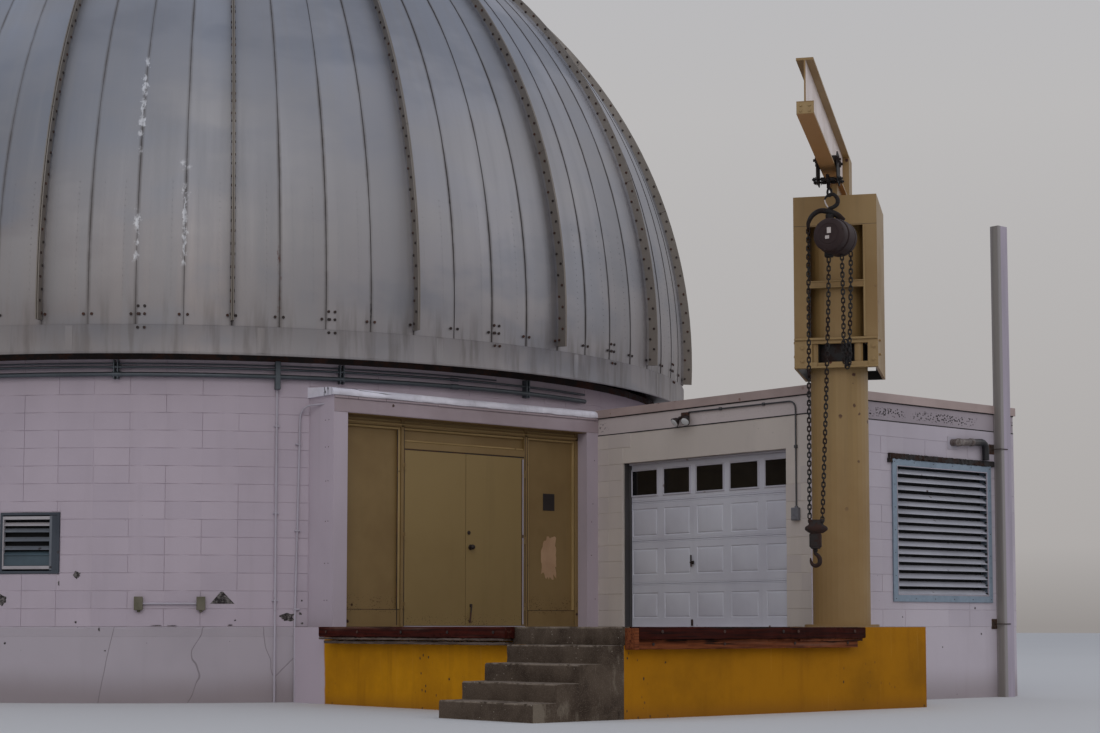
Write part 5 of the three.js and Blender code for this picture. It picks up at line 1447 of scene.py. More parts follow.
def embossed(inside):
    # height of the sheet by the distance inside a panel's edge: a groove, a bevel, then the flat
    return np.interp(inside, (-0.004, 0.004, 0.012, 0.020, 0.052),
                     (0, -garageSet["groove"], -garageSet["groove"], 0.0, garageSet["proud"]))


def garageSheet():
    # a grid of y and z whose lines fall on every change of height, moved out by the embossing
    low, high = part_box("garage_door")
    offsets = (-0.004, 0.004, 0.012, 0.020, 0.052)
    acrossAt, upAt = {low.y, high.y}, {low.z, high.z}
    for right, left in garageColumns:
        acrossAt |= {right - d for d in offsets} | {left + d for d in offsets}
    for bottom, top in garageSet["rows"]:
        upAt |= {floorZ + bottom + d for d in offsets} | {floorZ + top - d for d in offsets}
    for joint in garageSet["joints"]:
        upAt |= {floorZ + joint + d for d in (-0.024, -0.021, -0.018, -0.004, 0, 0.004, 0.018, 0.021, 0.024)}
    y, z = np.meshgrid(sorted(acrossAt), sorted(upAt))
    height = np.zeros_like(y)
    for right, left in garageColumns:
        for bottom, top in garageSet["rows"]:
            inside = np.minimum(np.minimum(right - y, y - left),
                                np.minimum(z - floorZ - bottom, floorZ + top - z))
            height = np.where(inside > -0.004, embossed(inside), height)
    for joint in garageSet["joints"]:
        away = np.abs(z - floorZ - joint)
        height = height - np.interp(away, (0, 0.004, 0.018, 0.021, 0.024), (0.010, 0, 0, 0.004, 0))
    outer = np.stack([garageSet["face"] - height, y, z], -1)
    inner = np.stack([np.full_like(y, garageSet["back"]), y, z], -1)
    return thick(outer, inner)


def beadShells(y0, y1, z0, z1):
    # the white bead round a pane: four bars
    wide = 0.022
    sides = ((y0 - wide, y0, z0 - wide, z1 + wide), (y1, y1 + wide, z0 - wide, z1 + wide),
             (y0 - 0.002, y1 + 0.002, z0 - wide, z0), (y0 - 0.002, y1 + 0.002, z1, z1 + wide))
    return [box(garageSet["face"] - 0.012, garageSet["face"] + 0.004, *side) for side in sides]


def addGarageDoor():
    piece("garage_sheet", garageSheet(), "garage", ["garage_door"], smooth=20)
    beads, panes = [], []
    for right, left in garageColumns:
        low, high = (floorZ + h for h in garageSet["panes"])
        beads += beadShells(left, right, low, high)
        panes.append(box(garageSet["face"] - 0.005, garageSet["face"] + 0.002, left - 0.002, right + 0.002,
                         low - 0.002, high + 0.002, 0.001))
    piece("pane_beads", beads, "garageWhite")
    piece("garage_panes", panes, "glass", ["garage_door_glass"])
    face = garageSet["face"]
    handle = [box(face - 0.012, face, -8.150, -8.100, floorZ + 0.755, floorZ + 0.795, 0.004),
              tube([(face - 0.030, -8.125, floorZ + 0.725), (face - 0.034, -8.125, floorZ + 0.79),
                    (face - 0.030, -8.122, floorZ + 0.865)], 0.010, 10, normal=(1, 0, 0)),
              cylinder((face, -8.125, floorZ + 0.775), (face - 0.036, -8.125, floorZ + 0.775), 0.014, 16),
              box(face - 0.040, face - 0.022, -8.175, -8.105, floorZ + 0.768, floorZ + 0.784, 0.004),
              box(face - 0.016, face, -8.128, -8.098, floorZ + 0.012, floorZ + 0.090, 0.004)]
    piece("garage_handle", handle, "steel", smooth=40)
    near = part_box("garage_wall_near")[0]
    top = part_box("garage_wall_header")[0].z
    # painted shade: the reveal's face as a dark grey strip for the shade in the recess, beside the door's dark track
    jamb = [box(1.690, 1.792, near.y - 0.016, near.y - 0.0005, floorZ + 0.001, top - 0.001, 0.003),
            box(1.760, 1.793, near.y - 0.030, near.y - 0.014, floorZ + 0.001, top - 0.001, 0.004)]
    piece("garage_jamb", jamb, "jamb")
    stop = box(1.750, 1.792, -9.776, near.y - 0.02, top - 0.026, top - 0.001, 0.004)
    piece("garage_stop", stop, "garageWhite")


finishes.update({
    "garageWhite": agedPaint("bead_paint", seen(139, 137, 144), seen(132, 130, 136), seen(84, 66, 56), 27.0,
                             rough=0.4),
    # dark grey for the reveal's painted shade and for the track
    "jamb": agedPaint("jamb_paint_and_painted_shade", seen(50, 48, 48), seen(42, 40, 40), seen(40, 30, 26), 28.0),
})
addGarageDoor()


# Louvres: a mitred frame carried round the opening, blades with turned-down lips, a dark screen behind
def frameShell(x0, x1, z0, z1, section):
    # a section of (distance in from the outer edge, depth) carried round four corners: mitred by itself
    inset, depth = np.array(section, float).T
    corners = np.array([(x0, z0, 1, 1), (x1, z0, -1, 1), (x1, z1, -1, -1), (x0, z1, 1, -1)], float)
    rings = np.stack([corners[:, None, 0] + corners[:, None, 2] * inset,
                      np.broadcast_to(depth, (4, len(depth))),
                      corners[:, None, 1] + corners[:, None, 3] * inset], -1)
    return swept(rings, closedPath=True)


def blade(x0, x1, section):
    # a section of (y, z) carried from x0 to x1, with a small random sag at each end
    y, z = np.array(section, float).T
    sag = dice.normal(0, 0.0015, (2, 1))
    return swept(np.stack([np.broadcast_to([[x0], [x1]], (2, len(y))), np.broadcast_to(y, (2, len(y))),
                           z + sag], -1))


def bladeShells(x0, x1, z0, z1, front):
    # sloping blades: each one's section is a lip, a slope up and back, and the same again inside it
    count, reach, gauge, lip = 16, 0.066, 0.004, 0.012
    pitch = (z1 - z0) / count
    shells = []
    for low in z0 + (np.arange(count) + 0.04) * pitch:
        high = low + pitch * 0.66
        shells.append(blade(x0, x1, [(front, low), (front, low + lip), (front + reach, high),
                                     (front + reach, high - gauge * 1.6), (front + gauge, low + lip - gauge),
                                     (front + gauge, low)]))
    return shells


def rivetRow(x0, x1, z0, z1, y, across, up):
    # rivets round a frame: across and up say how many on each side
    origins = [(x, y, z) for x in np.linspace(x0, x1, across) for z in (z0, z1)]
    origins += [(x, y, z) for z in np.linspace(z0, z1, up)[1:-1] for x in (x0, x1)]
    return heads(0.006, 0.004, 6, origins, (0, -1, 0))


def addWallLouvre():
    low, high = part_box("wall_louvre")
    x0, x1, z0, z1 = low.x, high.x, low.z, high.z
    section = [(0, -10.1553), (0, low.y + 0.002), (0.003, low.y), (0.078, low.y + 0.002), (0.082, low.y + 0.008),
               (0.082, high.y), (0.072, high.y), (0.072, -10.1553)]
    frameOut = frameShell(x0, x1, z0, z1, section)
    inner = [(0.079, low.y + 0.004), (0.079, low.y - 0.001), (0.087, low.y - 0.001), (0.087, low.y + 0.016)]
    piece("louvre_bead", frameShell(x0, x1, z0, z1, inner), "white", smooth=25)
    piece("louvre_frame", frameOut, "louvreZinc", ["wall_louvre"], smooth=25)
    blades = bladeShells(x0 + 0.083, x1 - 0.083, z0 + 0.086, z1 - 0.086, low.y + 0.014)
    piece("louvre_blades", blades, "blade", smooth=25)
    back = [box(x0 + 0.074, x1 - 0.074, high.y - 0.02, high.y - 0.004, z0 + 0.074, z1 - 0.074, 0.002)]
    piece("louvre_screen", back, "dark", smooth=0)
    clips = [box(x1 - 0.112, x1 - 0.083, low.y + 0.010, low.y + 0.030, z, z + 0.02, 0.003)
             for z in np.linspace(z0 + 0.10, z1 - 0.12, 16)]
    piece("louvre_clips", clips, "dark")
    piece("louvre_rivets", rivetRow(x0 + 0.036, x1 - 0.036, z0 + 0.036, z1 - 0.036, low.y + 0.001, 6, 7), "steel")
    flash = roughBar((x0 - 0.06, low.y - 0.012, z1 - 0.008), (x1 + 0.055, -10.1553, z1 + 0.062), 0, 0.012, 0.009,
                     160, 70)
    drip = roughBar((x0 - 0.075, low.y - 0.006, z1 - 0.05), (x0 - 0.002, -10.1553, z1 + 0.006), 0, 0.008, 0.006,
                    20, 8)
    piece("louvre_flashing", [flash, drip], "tar", smooth=40)


# Drum window, drawn straight and facing along -y: its members as x from, x to, z from, z to above the floor
windowSet = {"turn": -139.4 + 90, "half": 0.3565, "low": 0.602, "high": 1.298, "front": -6.514,
             "pale": ((-0.352, -0.314, 0.653, 1.255), (-0.316, 0.238, 1.219, 1.255), (-0.316, 0.238, 0.653, 0.691)),
             "grey": ((0.235, 0.265, 0.640, 1.262),), "dark": ((0.262, 0.330, 0.630, 1.270),),
             "blades": ((1.149, 1.190), (1.073, 1.120), (0.971, 1.022), (0.876, 0.923), (0.812, 0.857)),
             "plain": (0.694, 0.812)}


def windowBlade(low, high):
    # a blade whose outer face leans back as it rises, from one stile to the other
    front, low, high = windowSet["front"], floorZ + low, floorZ + high
    return blade(-0.315, 0.236, [(front, low), (front, low + 0.006), (front + 0.045, high),
                                 (front + 0.045, high - 0.005), (front + 0.006, low)])


def windowBars(bars, out):
    # upright and flat members of the window, each out metres in front of its face
    front = windowSet["front"]
    return [box(a, b, front - out, front + 0.04, floorZ + low, floorZ + high, 0.003) for a, b, low, high in bars]


def addDrumLouvre():
    s = windowSet
    front = s["front"]
    section = [(0, -6.36), (0, front - 0.012), (0.004, front - 0.016), (0.028, front - 0.014), (0.032, front - 0.006),
               (0.032, -6.36)]
    frameOut = frameShell(-s["half"], s["half"], floorZ + s["low"], floorZ + s["high"], section)
    back = box(-s["half"] + 0.03, s["half"] - 0.03, -6.44, -6.42, floorZ + s["low"] + 0.03, floorZ + s["high"] - 0.03,
               0.002)
    plain = box(-0.316, 0.236, front + 0.012, front + 0.03, *(floorZ + h for h in s["plain"]), 0.002)
    blades = [windowBlade(*levels) for levels in s["blades"]]
    for name, shells, key in (("drum_louvre_frame", [frameOut, *windowBars(s["dark"], 0.004)], "windowFrame"),
                              ("drum_louvre_rails", windowBars(s["pale"], 0.010) + blades[:1], "windowPale"),
                              ("drum_louvre_stile", windowBars(s["grey"], 0.008), "windowBlade"),
                              ("drum_louvre_blades", blades[1:4], "windowBlade"),
                              ("drum_louvre_panel", [plain, blades[4]], "windowTeal"),
                              ("drum_louvre_back", [back], "dark")):
        piece(name, [turnedAbout(shell, s["turn"]) for shell in shells], key,
              ["drum_louvre"] if key == "windowFrame" else (), smooth=25)


finishes.update({
    "louvreZinc": zincCoat("louvre_zinc", seen(116, 128, 140, 1.6), 12.0),
    "blade": agedPaint("blade_paint", seen(132, 132, 138), seen(116, 116, 122), seen(60, 46, 44), 31.0, rough=0.5),
    "dark": agedPaint("dark_screen", (0.004, 0.004, 0.005), (0.008, 0.007, 0.007), (0.01, 0.006, 0.005), 33.0,
                      rough=0.9),
    "tar": rustySteel("tarred_flashing", (0.010, 0.008, 0.008), (0.035, 0.016, 0.010), 6.0, metal=0.0, rough=0.8),
    "windowFrame": agedPaint("window_frame_paint", seen(48, 52, 58), seen(40, 44, 50), seen(44, 34, 30), 35.0),
    "windowBlade": agedPaint("window_blade_paint", seen(88, 90, 94), seen(70, 73, 78), seen(40, 34, 32), 37.0),
    "windowPale": agedPaint("window_rail_paint", seen(130, 126, 128), seen(112, 108, 110), seen(60, 50, 46), 38.0),
    "windowTeal": agedPaint("window_panel_paint", seen(56, 68, 74), seen(44, 52, 58), seen(40, 34, 32), 39.0),
})
addWallLouvre()
addDrumLouvre()


# Fittings of the room: light with its conduit, switch box, vent pipe, post, roof edge
def addRoomFittings():
    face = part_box("garage_wall_near")[0].x
    y, z = -8.165, floorZ + 2.54
    mount = [box(face - 0.050, face - 0.0005, y - 0.055, y + 0.055, z - 0.045, z + 0.045, 0.006),
             cylinder((face - 0.045, y - 0.085, z - 0.01), (face - 0.045, y + 0.085, z - 0.01), 0.012, 12)]
    lamps, lenses = [], []
    for side in (-1, 1):
        start = np.array((face - 0.045, y + side * 0.070, z - 0.015))
        way = np.array((-0.72, side * 0.20, -0.62))
        way = way / np.linalg.norm(way)
        mount.append(cylinder(start, start + way * 0.045, 0.020, 16))
        across = np.cross(way, (0, 0, 1))
        across /= np.linalg.norm(across)
        shade = ((0.030, 0.022), (0.050, 0.040), (0.085, 0.056), (0.098, 0.060), (0.102, 0.057))
        lens = ((0.098, 0.052), (0.105, 0.050), (0.110, 0.036), (0.112, 0.010))
        lamps.append(spun(shade, 24, start, way, across))
        lenses.append(spun(lens, 24, start, way, across))
    piece("lamp_bracket", mount, "steel", ["floodlight"], smooth=35)
    piece("lamp_heads", lamps, "steel", smooth=35)
    piece("lamp_lenses", lenses, "lens", smooth=50)
    low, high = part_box("switch_box")
    line = face - 0.016
    boxY, boxTop = (low.y + high.y) / 2 + 0.012, floorZ + 1.35
    route = rounded([(line, y - 0.05, floorZ + 2.585), (line, boxY, floorZ + 2.575), (line, boxY, boxTop)], 0.11, 9)
    run = [tube(route, 0.0095, 12, normal=(1, 0, 0))]
    for y, z in ((-8.75, floorZ + 2.5826), (-9.45, floorZ + 2.578), (boxY, floorZ + 2.05)):
        run.append(box(line - 0.016, line + 0.0155, y - 0.018, y + 0.018, z - 0.018, z + 0.018))
    piece("light_conduit", run, "conduitDark", smooth=40)
    case = [box(low.x, face - 0.0005, boxY - 0.052, boxY + 0.052, floorZ + 1.205, floorZ + 1.352, 0.006),
            box(low.x - 0.004, low.x + 0.004, boxY - 0.044, boxY + 0.044, floorZ + 1.214, floorZ + 1.343, 0.003),
            box(low.x - 0.010, low.x, boxY - 0.012, boxY + 0.012, floorZ + 1.26, floorZ + 1.30, 0.003),
            cylinder((line, boxY, floorZ + 1.345), (line, boxY, floorZ + 1.372), 0.020, 16)]
    piece("switch_case", case, "caseGrey", ["switch_box"], smooth=35)


def addVentPipe():
    # the pipe that turns down beside the post, its collars and plate, and the small hole and the gap by the post as
    # dark plates of painted shade
    y = -10.217
    route = rounded([(4.205, y, floorZ + 2.232), (4.80, y, floorZ + 2.268), (4.80, y, floorZ + 2.045)], 0.105, 12)
    pipe = tube(route, 0.043, 24, normal=(0, 1, 0))
    stub = cylinder((4.205, -10.16, floorZ + 2.232), (4.205, y - 0.043, floorZ + 2.232), 0.043, 24)
    ends = [[(at, y, floorZ + 2.232 + (at - 4.205) * 0.0605) for at in (x, x + 0.05)] for x in (4.245, 4.49)]
    fittings = joined([stub, *(cylinder(*pair, 0.050, 24) for pair in ends)])
    tones = np.concatenate([pipe[0][:, 0] > 4.50, np.full(len(fittings[0]), 0.35)])
    piece("vent_tube", [pipe, fittings], "ventPipe", ["vent_pipe"], smooth=40, tones=tones)
    plate = [box(4.125, 4.305, -10.168, -10.1553, floorZ + 2.150, floorZ + 2.305, 0.003)]
    piece("vent_plate", plate, "white")
    # painted shade: a dark disc for the shade in the small hole, and a dark strip for the shade in the gap between
    # wall and post
    hole = heads(0.028, 0.003, 20, (2.774, -10.1553, floorZ + 1.487), (0, -1, 0))
    gap = box(5.058, 5.082, -10.1598, -10.1553, 0.30, floorZ + 2.40, 0.001)
    piece("wall_hole_and_gap_painted_shade", [hole, gap], "dark", smooth=0)


def addPostAndRoof():
    # the square post with its open top and straps, and the dark lines under and over the roof
    low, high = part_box("corner_post")
    x0, x1, y0, y1, top = low.x, high.x, low.y, high.y, high.z
    section = np.array([(x0, y0), (x1, y0), (x1, y1), (x0, y1)])
    around = []
    for (cx, cy), (sx, sy) in zip(section, ((1, 1), (-1, 1), (-1, -1), (1, -1))):
        for d in ((0.0, 0.012), (0.0035, 0.0035), (0.012, 0.0)):
            pair = d if sx * sy < 0 else d[::-1]
            around.append((cx + sx * pair[1], cy + sy * pair[0]))
    around = np.array(around)
    order = np.argsort(np.arctan2(around[:, 1] - around[:, 1].mean(), around[:, 0] - around[:, 0].mean()))
    around = around[order]
    heights = np.array([0.0, 1.2, 2.6, 4.1, top])
    lean = wandering(5, 2, 0.0008, 4)
    outer = np.stack([around[None, :, 0] + lean[:, :1], around[None, :, 1] + lean[:, 1:],
                      np.broadcast_to(heights[:, None], (5, len(around)))], -1)
    outer[..., 0] = np.clip(outer[..., 0], x0, x1)
    outer[..., 1] = np.clip(outer[..., 1], y0, y1)
    middle = np.array([(x0 + x1) / 2, (y0 + y1) / 2, 0])
    mouth = [middle + (outer[-1] - middle) * (0.94, 0.90, 1) + (0, 0, d) for d in (0.0, -0.35)]
    piece("post_tube", swept(np.concatenate([outer, mouth])), "post", ["corner_post"])
    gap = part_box("louvre_wall")[0].y
    straps, bolts = [], []
    for level in (floorZ + 0.035, floorZ + 2.195):
        straps += [box(x0 - 0.10, x0 + 0.004, gap - 0.010, gap - 0.0005, level - 0.062, level + 0.062, 0.003),
                   box(x1 - 0.004, x1 + 0.07, gap - 0.010, gap - 0.0005, level - 0.062, level + 0.062, 0.003)]
        bolts += [(x0 - 0.06, gap - 0.010, level + d) for d in (-0.035, 0.035)]
        straps.append(tube([(x0 - 0.05, y1 + 0.02, level), (x0 - 0.02, y0 - 0.006, level),
                            (x0 + 0.11, y0 - 0.006, level)], 0.006, 8))
    straps.append(heads(0.014, 0.012, 6, bolts, (0, -1, 0)))
    piece("post_straps", straps, "rustStrap", smooth=35)
    low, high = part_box("room_roof")
    x0, x1, y0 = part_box("garage_wall_near")[0].x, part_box("room_side_wall")[1].x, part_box("louvre_wall")[0].y
    line = [box(x0 - 0.007, x0 + 0.01, y0 - 0.007, -6.40, low.z - 0.009, low.z + 0.004, 0.002),
            box(x0, x1, y0 - 0.007, y0 + 0.01, low.z - 0.009, low.z + 0.004, 0.002),
            box(x1 - 0.01, x1 + 0.007, y0, -3.6, low.z - 0.009, low.z + 0.004, 0.002),
            box(x0 - 0.012, x0 + 0.01, y0 - 0.012, -6.06, high.z - 0.012, high.z - 0.001, 0.003),
            box(x0, x1, y0 - 0.012, y0 + 0.01, high.z - 0.012, high.z - 0.001, 0.003)]
    piece("roof_lines", line, "darkLine", smooth=0)
    print("stage: room fittings made")


def peeledPaint():
    # the roof slab's painted edge: rows of small dark chips where the coat has blistered off, and its garage side in
    # a warmer, lighter copy as painted light
    peeled = Finish("peeled_roof_edge_and_painted_light")
    x, y, z = peeled.axes()
    stain = peeled.noise(0.7, 4, 0.6)
    colour = peeled.mix(peeled.between(stain, 0.35, 0.7), seen(123, 115, 119), seen(112, 104, 108))
    row = peeled.band(z + (peeled.noise(2.5, 3, shift=(2, 0, 0)) - 0.5) * 0.05, floorZ + 2.515, 0.036, 0.03)
    dots = peeled.cells(28, stretch=(1, 1, 1.3)) + (peeled.noise(90, 3, 0.7) - 0.5) * 0.34
    where = peeled.between(peeled.noise(1.1, 3, 0.6, shift=(0, 6, 0)), 0.42, 0.52)
    # painted light: the slab's garage side in a warmer, lighter copy of the paint, for the warm light bounced onto it
    side = peeled.between(x, 1.668, 1.672, 0.85, 0.0)
    colour = peeled.mix(side, colour, peeled.mix(peeled.between(stain, 0.35, 0.7), seen(152, 143, 140),
                                                 seen(142, 133, 130)))
    far = peeled.between(y, -10.15, -10.10, 1.0, 0.06) + peeled.between(y, -7.0, -6.6, 0.0, 0.6)
    chips = peeled.below(dots, 0.31, 0.40) * row * where * far
    colour = peeled.mix(chips, colour, seen(22, 17, 16))
    return peeled.paint(colour, 0.8, None, stain - chips, 0.002)


def postPaint():
    # grey post: its left face in a browner, darker grey, which is painted shade, with a pale strip down one edge
    post = Finish("post_paint_and_painted_shade")
    x, y = post.axes()[:2]
    low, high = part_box("corner_post")
    edge = low.x + 0.0475          # the strap plates widen the box by this much on each side
    run = post.noise(7, 4, 0.6, (1, 1, 0.05))
    front = post.mix(post.between(run, 0.4, 0.7), seen(126, 118, 128), seen(114, 107, 116))
    # painted shade: the left face takes a darker, browner copy of the paint
    side = post.mix(post.between(run, 0.4, 0.7), seen(100, 96, 92), seen(88, 84, 82))
    strip = post.below(y, low.y + 0.014, low.y + 0.016).math(
        "MAXIMUM", post.between(y, high.y - 0.030, high.y - 0.026))
    side = post.mix(strip * 0.6, side, seen(112, 108, 108))
    colour = post.mix(post.between(x, edge, edge + 0.003), side, front)
    fleck = post.below(post.cells(24) + (run - 0.5) * 0.2, 0.05, 0.09) * post.between(
        post.noise(2, 2, shift=(3, 0, 0)), 0.52, 0.6)
    colour = post.mix(fleck * 0.7, colour, seen(52, 40, 34))
    return post.paint(colour, 0.5, None, run, 0.0015)


def ventPaint():
    # grey-brown pipe that turns black at its elbow
    pipe = Finish("vent_pipe_paint")
    tone = pipe.node("Attribute", {"attribute_name": "tone"}, output="Fac")
    rough = pipe.noise(20, 4, 0.7)
    grey = pipe.mix(pipe.between(rough, 0.4, 0.65), seen(104, 96, 92), seen(72, 60, 54))
    colour = pipe.mix(tone, grey, (0.006, 0.006, 0.008))
    return pipe.paint(colour, 0.45, None, rough, 0.002)


finishes.update({
    "caseGrey": agedPaint("case_paint", seen(84, 84, 88), seen(74, 74, 78), seen(50, 46, 42), 45.0, size=3),
    "rustStrap": rustySteel("rusty_strap", (0.045, 0.030, 0.022), (0.085, 0.034, 0.016), 14.0, metal=0.1, rough=0.8),
    "lens": Finish("lamp_lens", Roughness=0.12).paint((0.75, 0.77, 0.78)),
    "conduitDark": zincCoat("light_conduit_zinc", (0.11, 0.11, 0.115), 9.0),
    "ventPipe": ventPaint(),
    "post": postPaint(),
    "darkLine": agedPaint("dark_line", (0.012, 0.010, 0.010), (0.05, 0.045, 0.045), (0.02, 0.01, 0.008), 43.0, size=3,
                          rough=0.9),
    "peeled": peeledPaint(),
})
addRoomFittings()
addVentPipe()
addPostAndRoof()


# Jib crane. Drawn in the jib's own frame: x along the boom, y to its left, z above the floor
craneSet = {"axis": (1.010, -11.170), "turn": 216.2, "trolley": 1.05, "front": 0.35, "half": 0.44,
            "boomLow": 4.709, "tip": 3.30}


def atJib(shell, along):
    # from the jib's frame to the building's: moved out along the boom, turned about the pillar's axis
    points, faces = shell
    return turnedAbout((points + (along, 0, 0), faces), craneSet["turn"], (*craneSet["axis"], floorZ))


def addCrane(name, shells, finish, replaced=(), smooth=35, body="trolley"):
    # the trolley's pieces are drawn about its middle, the others about the pillar's axis
    along = craneSet["trolley"] if body == "trolley" else 0.0
    piece(name, [atJib(shell, along) for shell in shells], finish, replaced, smooth, body)


def headShells():
    # frame round the rollers' opening, with its lips and end plates, and angle strips on the front
    x, half = craneSet["front"], craneSet["half"]
    rows = [(0.034, -half, half, 3.030, 3.052, 0.003), (0.034, -half, half, 2.731, 2.750, 0.003),
            (0.014, -half, -0.250, 2.748, 3.032, 0.003), (0.014, 0.335, half, 2.748, 3.032, 0.003),
            (0.010, -half + 0.001, half - 0.001, 2.992, 3.032, 0.003), (0.012, -0.252, -0.20, 2.748, 2.796),
            (0.012, -0.10, 0.07, 2.748, 2.796), (0.012, 0.16, 0.335, 2.748, 2.796),
            (0.007, 0.296, 0.315, 3.06, 4.254, 0.002), (0.009, -0.30, 0.30, 3.592, 3.600, 0.002),
            (0.009, -0.30, 0.30, 3.655, 3.664, 0.002)]
    return [box(x, x + out, *rest) for out, *rest in rows]


def boltShells():
    # bolts on the end plates, with washers, the stop at the boom's tip, and bolts on the head's sides
    x, half, stop = craneSet["front"] + 0.014, craneSet["half"], craneSet["tip"]
    plate = [(x, y, z) for y in (-0.355, 0.393) for z in (2.955, 2.815)]
    tip = [(stop + 0.006, y, z) for y in (0.040, -0.040) for z in (4.79, 4.74)]
    return [heads(0.020, 0.014, 6, plate, (1, 0, 0)), heads(0.030, 0.004, 20, plate, (1, 0, 0)),
            box(stop - 0.012, stop + 0.006, -0.079, 0.079, 4.712, 4.818, 0.003),
            heads(0.013, 0.010, 6, tip, (1, 0, 0)),
            *(cylinder((0.20, side * half, z), (0.20, side * (half + 0.022), z), 0.014, 6, 0.002)
              for side in (-1, 1) for z in (2.88, 3.03))]


def trackShells():
    # the worn steel band that the rollers run on
    return [spun(((2.775, 0.3052), (2.778, 0.3054), (3.002, 0.3054), (3.005, 0.3052)), 64, along=(0, 0, 1),
                 across=(1, 0, 0))]


def trolleyShells():
    # two side plates with wheels inside them, cross bolts with spacers, and the eye that they carry
    outline = np.array([(-0.17, 4.60), (-0.13, 4.545), (0.13, 4.545), (0.17, 4.60), (0.17, 4.80), (0.11, 4.862),
                        (-0.11, 4.862), (-0.17, 4.80)])
    axle = craneSet["boomLow"] + 0.0675
    wheels = ((0.028, 0.096, 0.044, 28, 0.004), (0.106, 0.124, 0.034, 24, 0.004), (0.12, 0.142, 0.015, 6, 0.002))
    spacers = ((-0.158, 0.316, 0.011, 16), (-0.148, 0.016, 0.022, 6), (-0.128, 0.008, 0.027, 20),
               (0.112, 0.008, 0.027, 20), (0.126, 0.016, 0.022, 6), (-0.070, 0.045, 0.020, 20),
               (0.024, 0.045, 0.020, 20), (-0.082, 0.006, 0.028, 20), (0.074, 0.006, 0.028, 20))
    shells = [box(-0.10, 0.10, -0.016, 0.016, 4.560, 4.632, 0.005),
              box(-0.022, 0.022, -0.015, 0.017, 4.500, 4.575, 0.008)]
    for side in (-1, 1):
        shells.append(swept(np.stack([np.stack([outline[:, 0], np.full(8, side * y), outline[:, 1]], -1)
                                      for y in (0.098, 0.109)])))
        shells += [cylinder((x, side * near, axle), (x, side * far, axle), *size)
                   for x in (-0.11, 0.11) for near, far, *size in wheels]
        shells += [cylinder((side * 0.075, y, 4.585), (side * 0.075, y + deep, 4.585), radius, sides, 0.002)
                   for y, deep, radius, sides in spacers]
    turn = np.linspace(0, 2 * np.pi, 20, endpoint=False)
    eye = np.stack([np.zeros(20), 0.012 + 0.021 * np.cos(turn), 4.462 + 0.042 * np.sin(turn)], -1)
    return shells + [ringTube(eye, 0.0115, 8)]


def ringTube(path, radius, sides):
    # a tube along a closed path that lies in a plane of constant x
    along = np.roll(path, -1, 0) - np.roll(path, 1, 0)
    along /= np.linalg.norm(along, axis=1)[:, None]
    normal = np.array((1.0, 0, 0))
    across = np.cross(normal, along)
    across /= np.linalg.norm(across, axis=1)[:, None]
    turn = np.linspace(0, 2 * np.pi, sides, endpoint=False)
    ring = across[:, None] * np.cos(turn)[None, :, None] + normal * np.sin(turn)[None, :, None]
    return swept(path[:, None] + ring * radius, closedPath=True)


def curveThrough(points, steps):
    # a smooth route through points in three dimensions: Catmull-Rom pieces, steps of them between points
    p = np.asarray(points, float)
    p = np.concatenate([2 * p[:1] - p[1:2], p, 2 * p[-1:] - p[-2:-1]])
    t = np.linspace(0, 1, steps, endpoint=False)[:, None]
    found = [0.5 * (2 * b + (c - a) * t + (2 * a - 5 * b + 4 * c - d) * t ** 2 + (3 * b - a - 3 * c + d) * t ** 3)
             for a, b, c, d in zip(p, p[1:], p[2:], p[3:])]
    return np.concatenate(found + [p[-2:-1]])


def bentBar(points, radii, sides=14, normal=(1, 0, 0)):
    # a bar through points, its radius eased between them
    path = curveThrough(points, 6)
    radius = np.interp(np.linspace(0, len(points) - 1, len(path)), np.arange(len(points)), radii)
    return tube(path, radius, sides, normal)


def hoistShells():
    # the top hook, and the curved arm that the chain's dead end hangs from, with a lug and an outlet block
    hook = bentBar([(0, 0.012, 4.215), (0, 0.004, 4.285), (0, 0.046, 4.303), (0, 0.088, 4.335), (0, 0.094, 4.385),
                    (0, 0.062, 4.432), (0, 0.018, 4.440), (0, -0.018, 4.420), (0, -0.042, 4.385)],
                   [0.024, 0.018, 0.021, 0.023, 0.022, 0.019, 0.017, 0.013, 0.006])
    arm = bentBar([(0, 0.150, 4.160), (0, 0.085, 4.222), (0, 0.0, 4.262), (0, -0.093, 4.272), (0, -0.168, 4.226),
                   (0, -0.206, 4.158), (0, -0.211, 4.100)], [0.030, 0.032, 0.030, 0.027, 0.025, 0.022, 0.016])
    lug = box(-0.028, 0.028, -0.030, 0.055, 4.150, 4.235, 0.010)
    outlet = box(-0.034, 0.034, -0.045, 0.045, 3.785, 3.860, 0.010)
    return [hook, arm, lug, outlet]


def motorShells():
    # turned about its own axis, which lies 17 degrees off the boom: the cap's face has shallow rings
    profile = [(0.2005, 0.004), (0.2005, 0.030), (0.197, 0.034), (0.197, 0.050), (0.200, 0.054),
               (0.199, 0.095), (0.195, 0.099), (0.195, 0.112), (0.198, 0.116), (0.193, 0.150), (0.182, 0.168),
               (0.166, 0.174), (0.096, 0.175), (0.092, 0.166), (0.080, 0.166), (0.076, 0.184), (0.030, 0.188),
               (-0.060, 0.188), (-0.064, 0.180), (-0.076, 0.180), (-0.080, 0.186), (-0.130, 0.184),
               (-0.146, 0.168), (-0.150, 0.10), (-0.150, 0.004)]
    around = np.radians(np.arange(6) * 60 + 15)
    places = np.stack([np.full(6, 0.182), 0.158 * np.cos(around), 0.158 * np.sin(around)], -1)
    return [atMotor(spun(profile, 64)), atMotor(heads(0.011, 0.012, 6, places, (1, 0, 0)))]


def atMotor(shell):
    # from the motor's own frame to the jib's: 17 degrees off the boom, under the trolley
    return turnedAbout(shell, -17, (0, 0.070, 3.990))


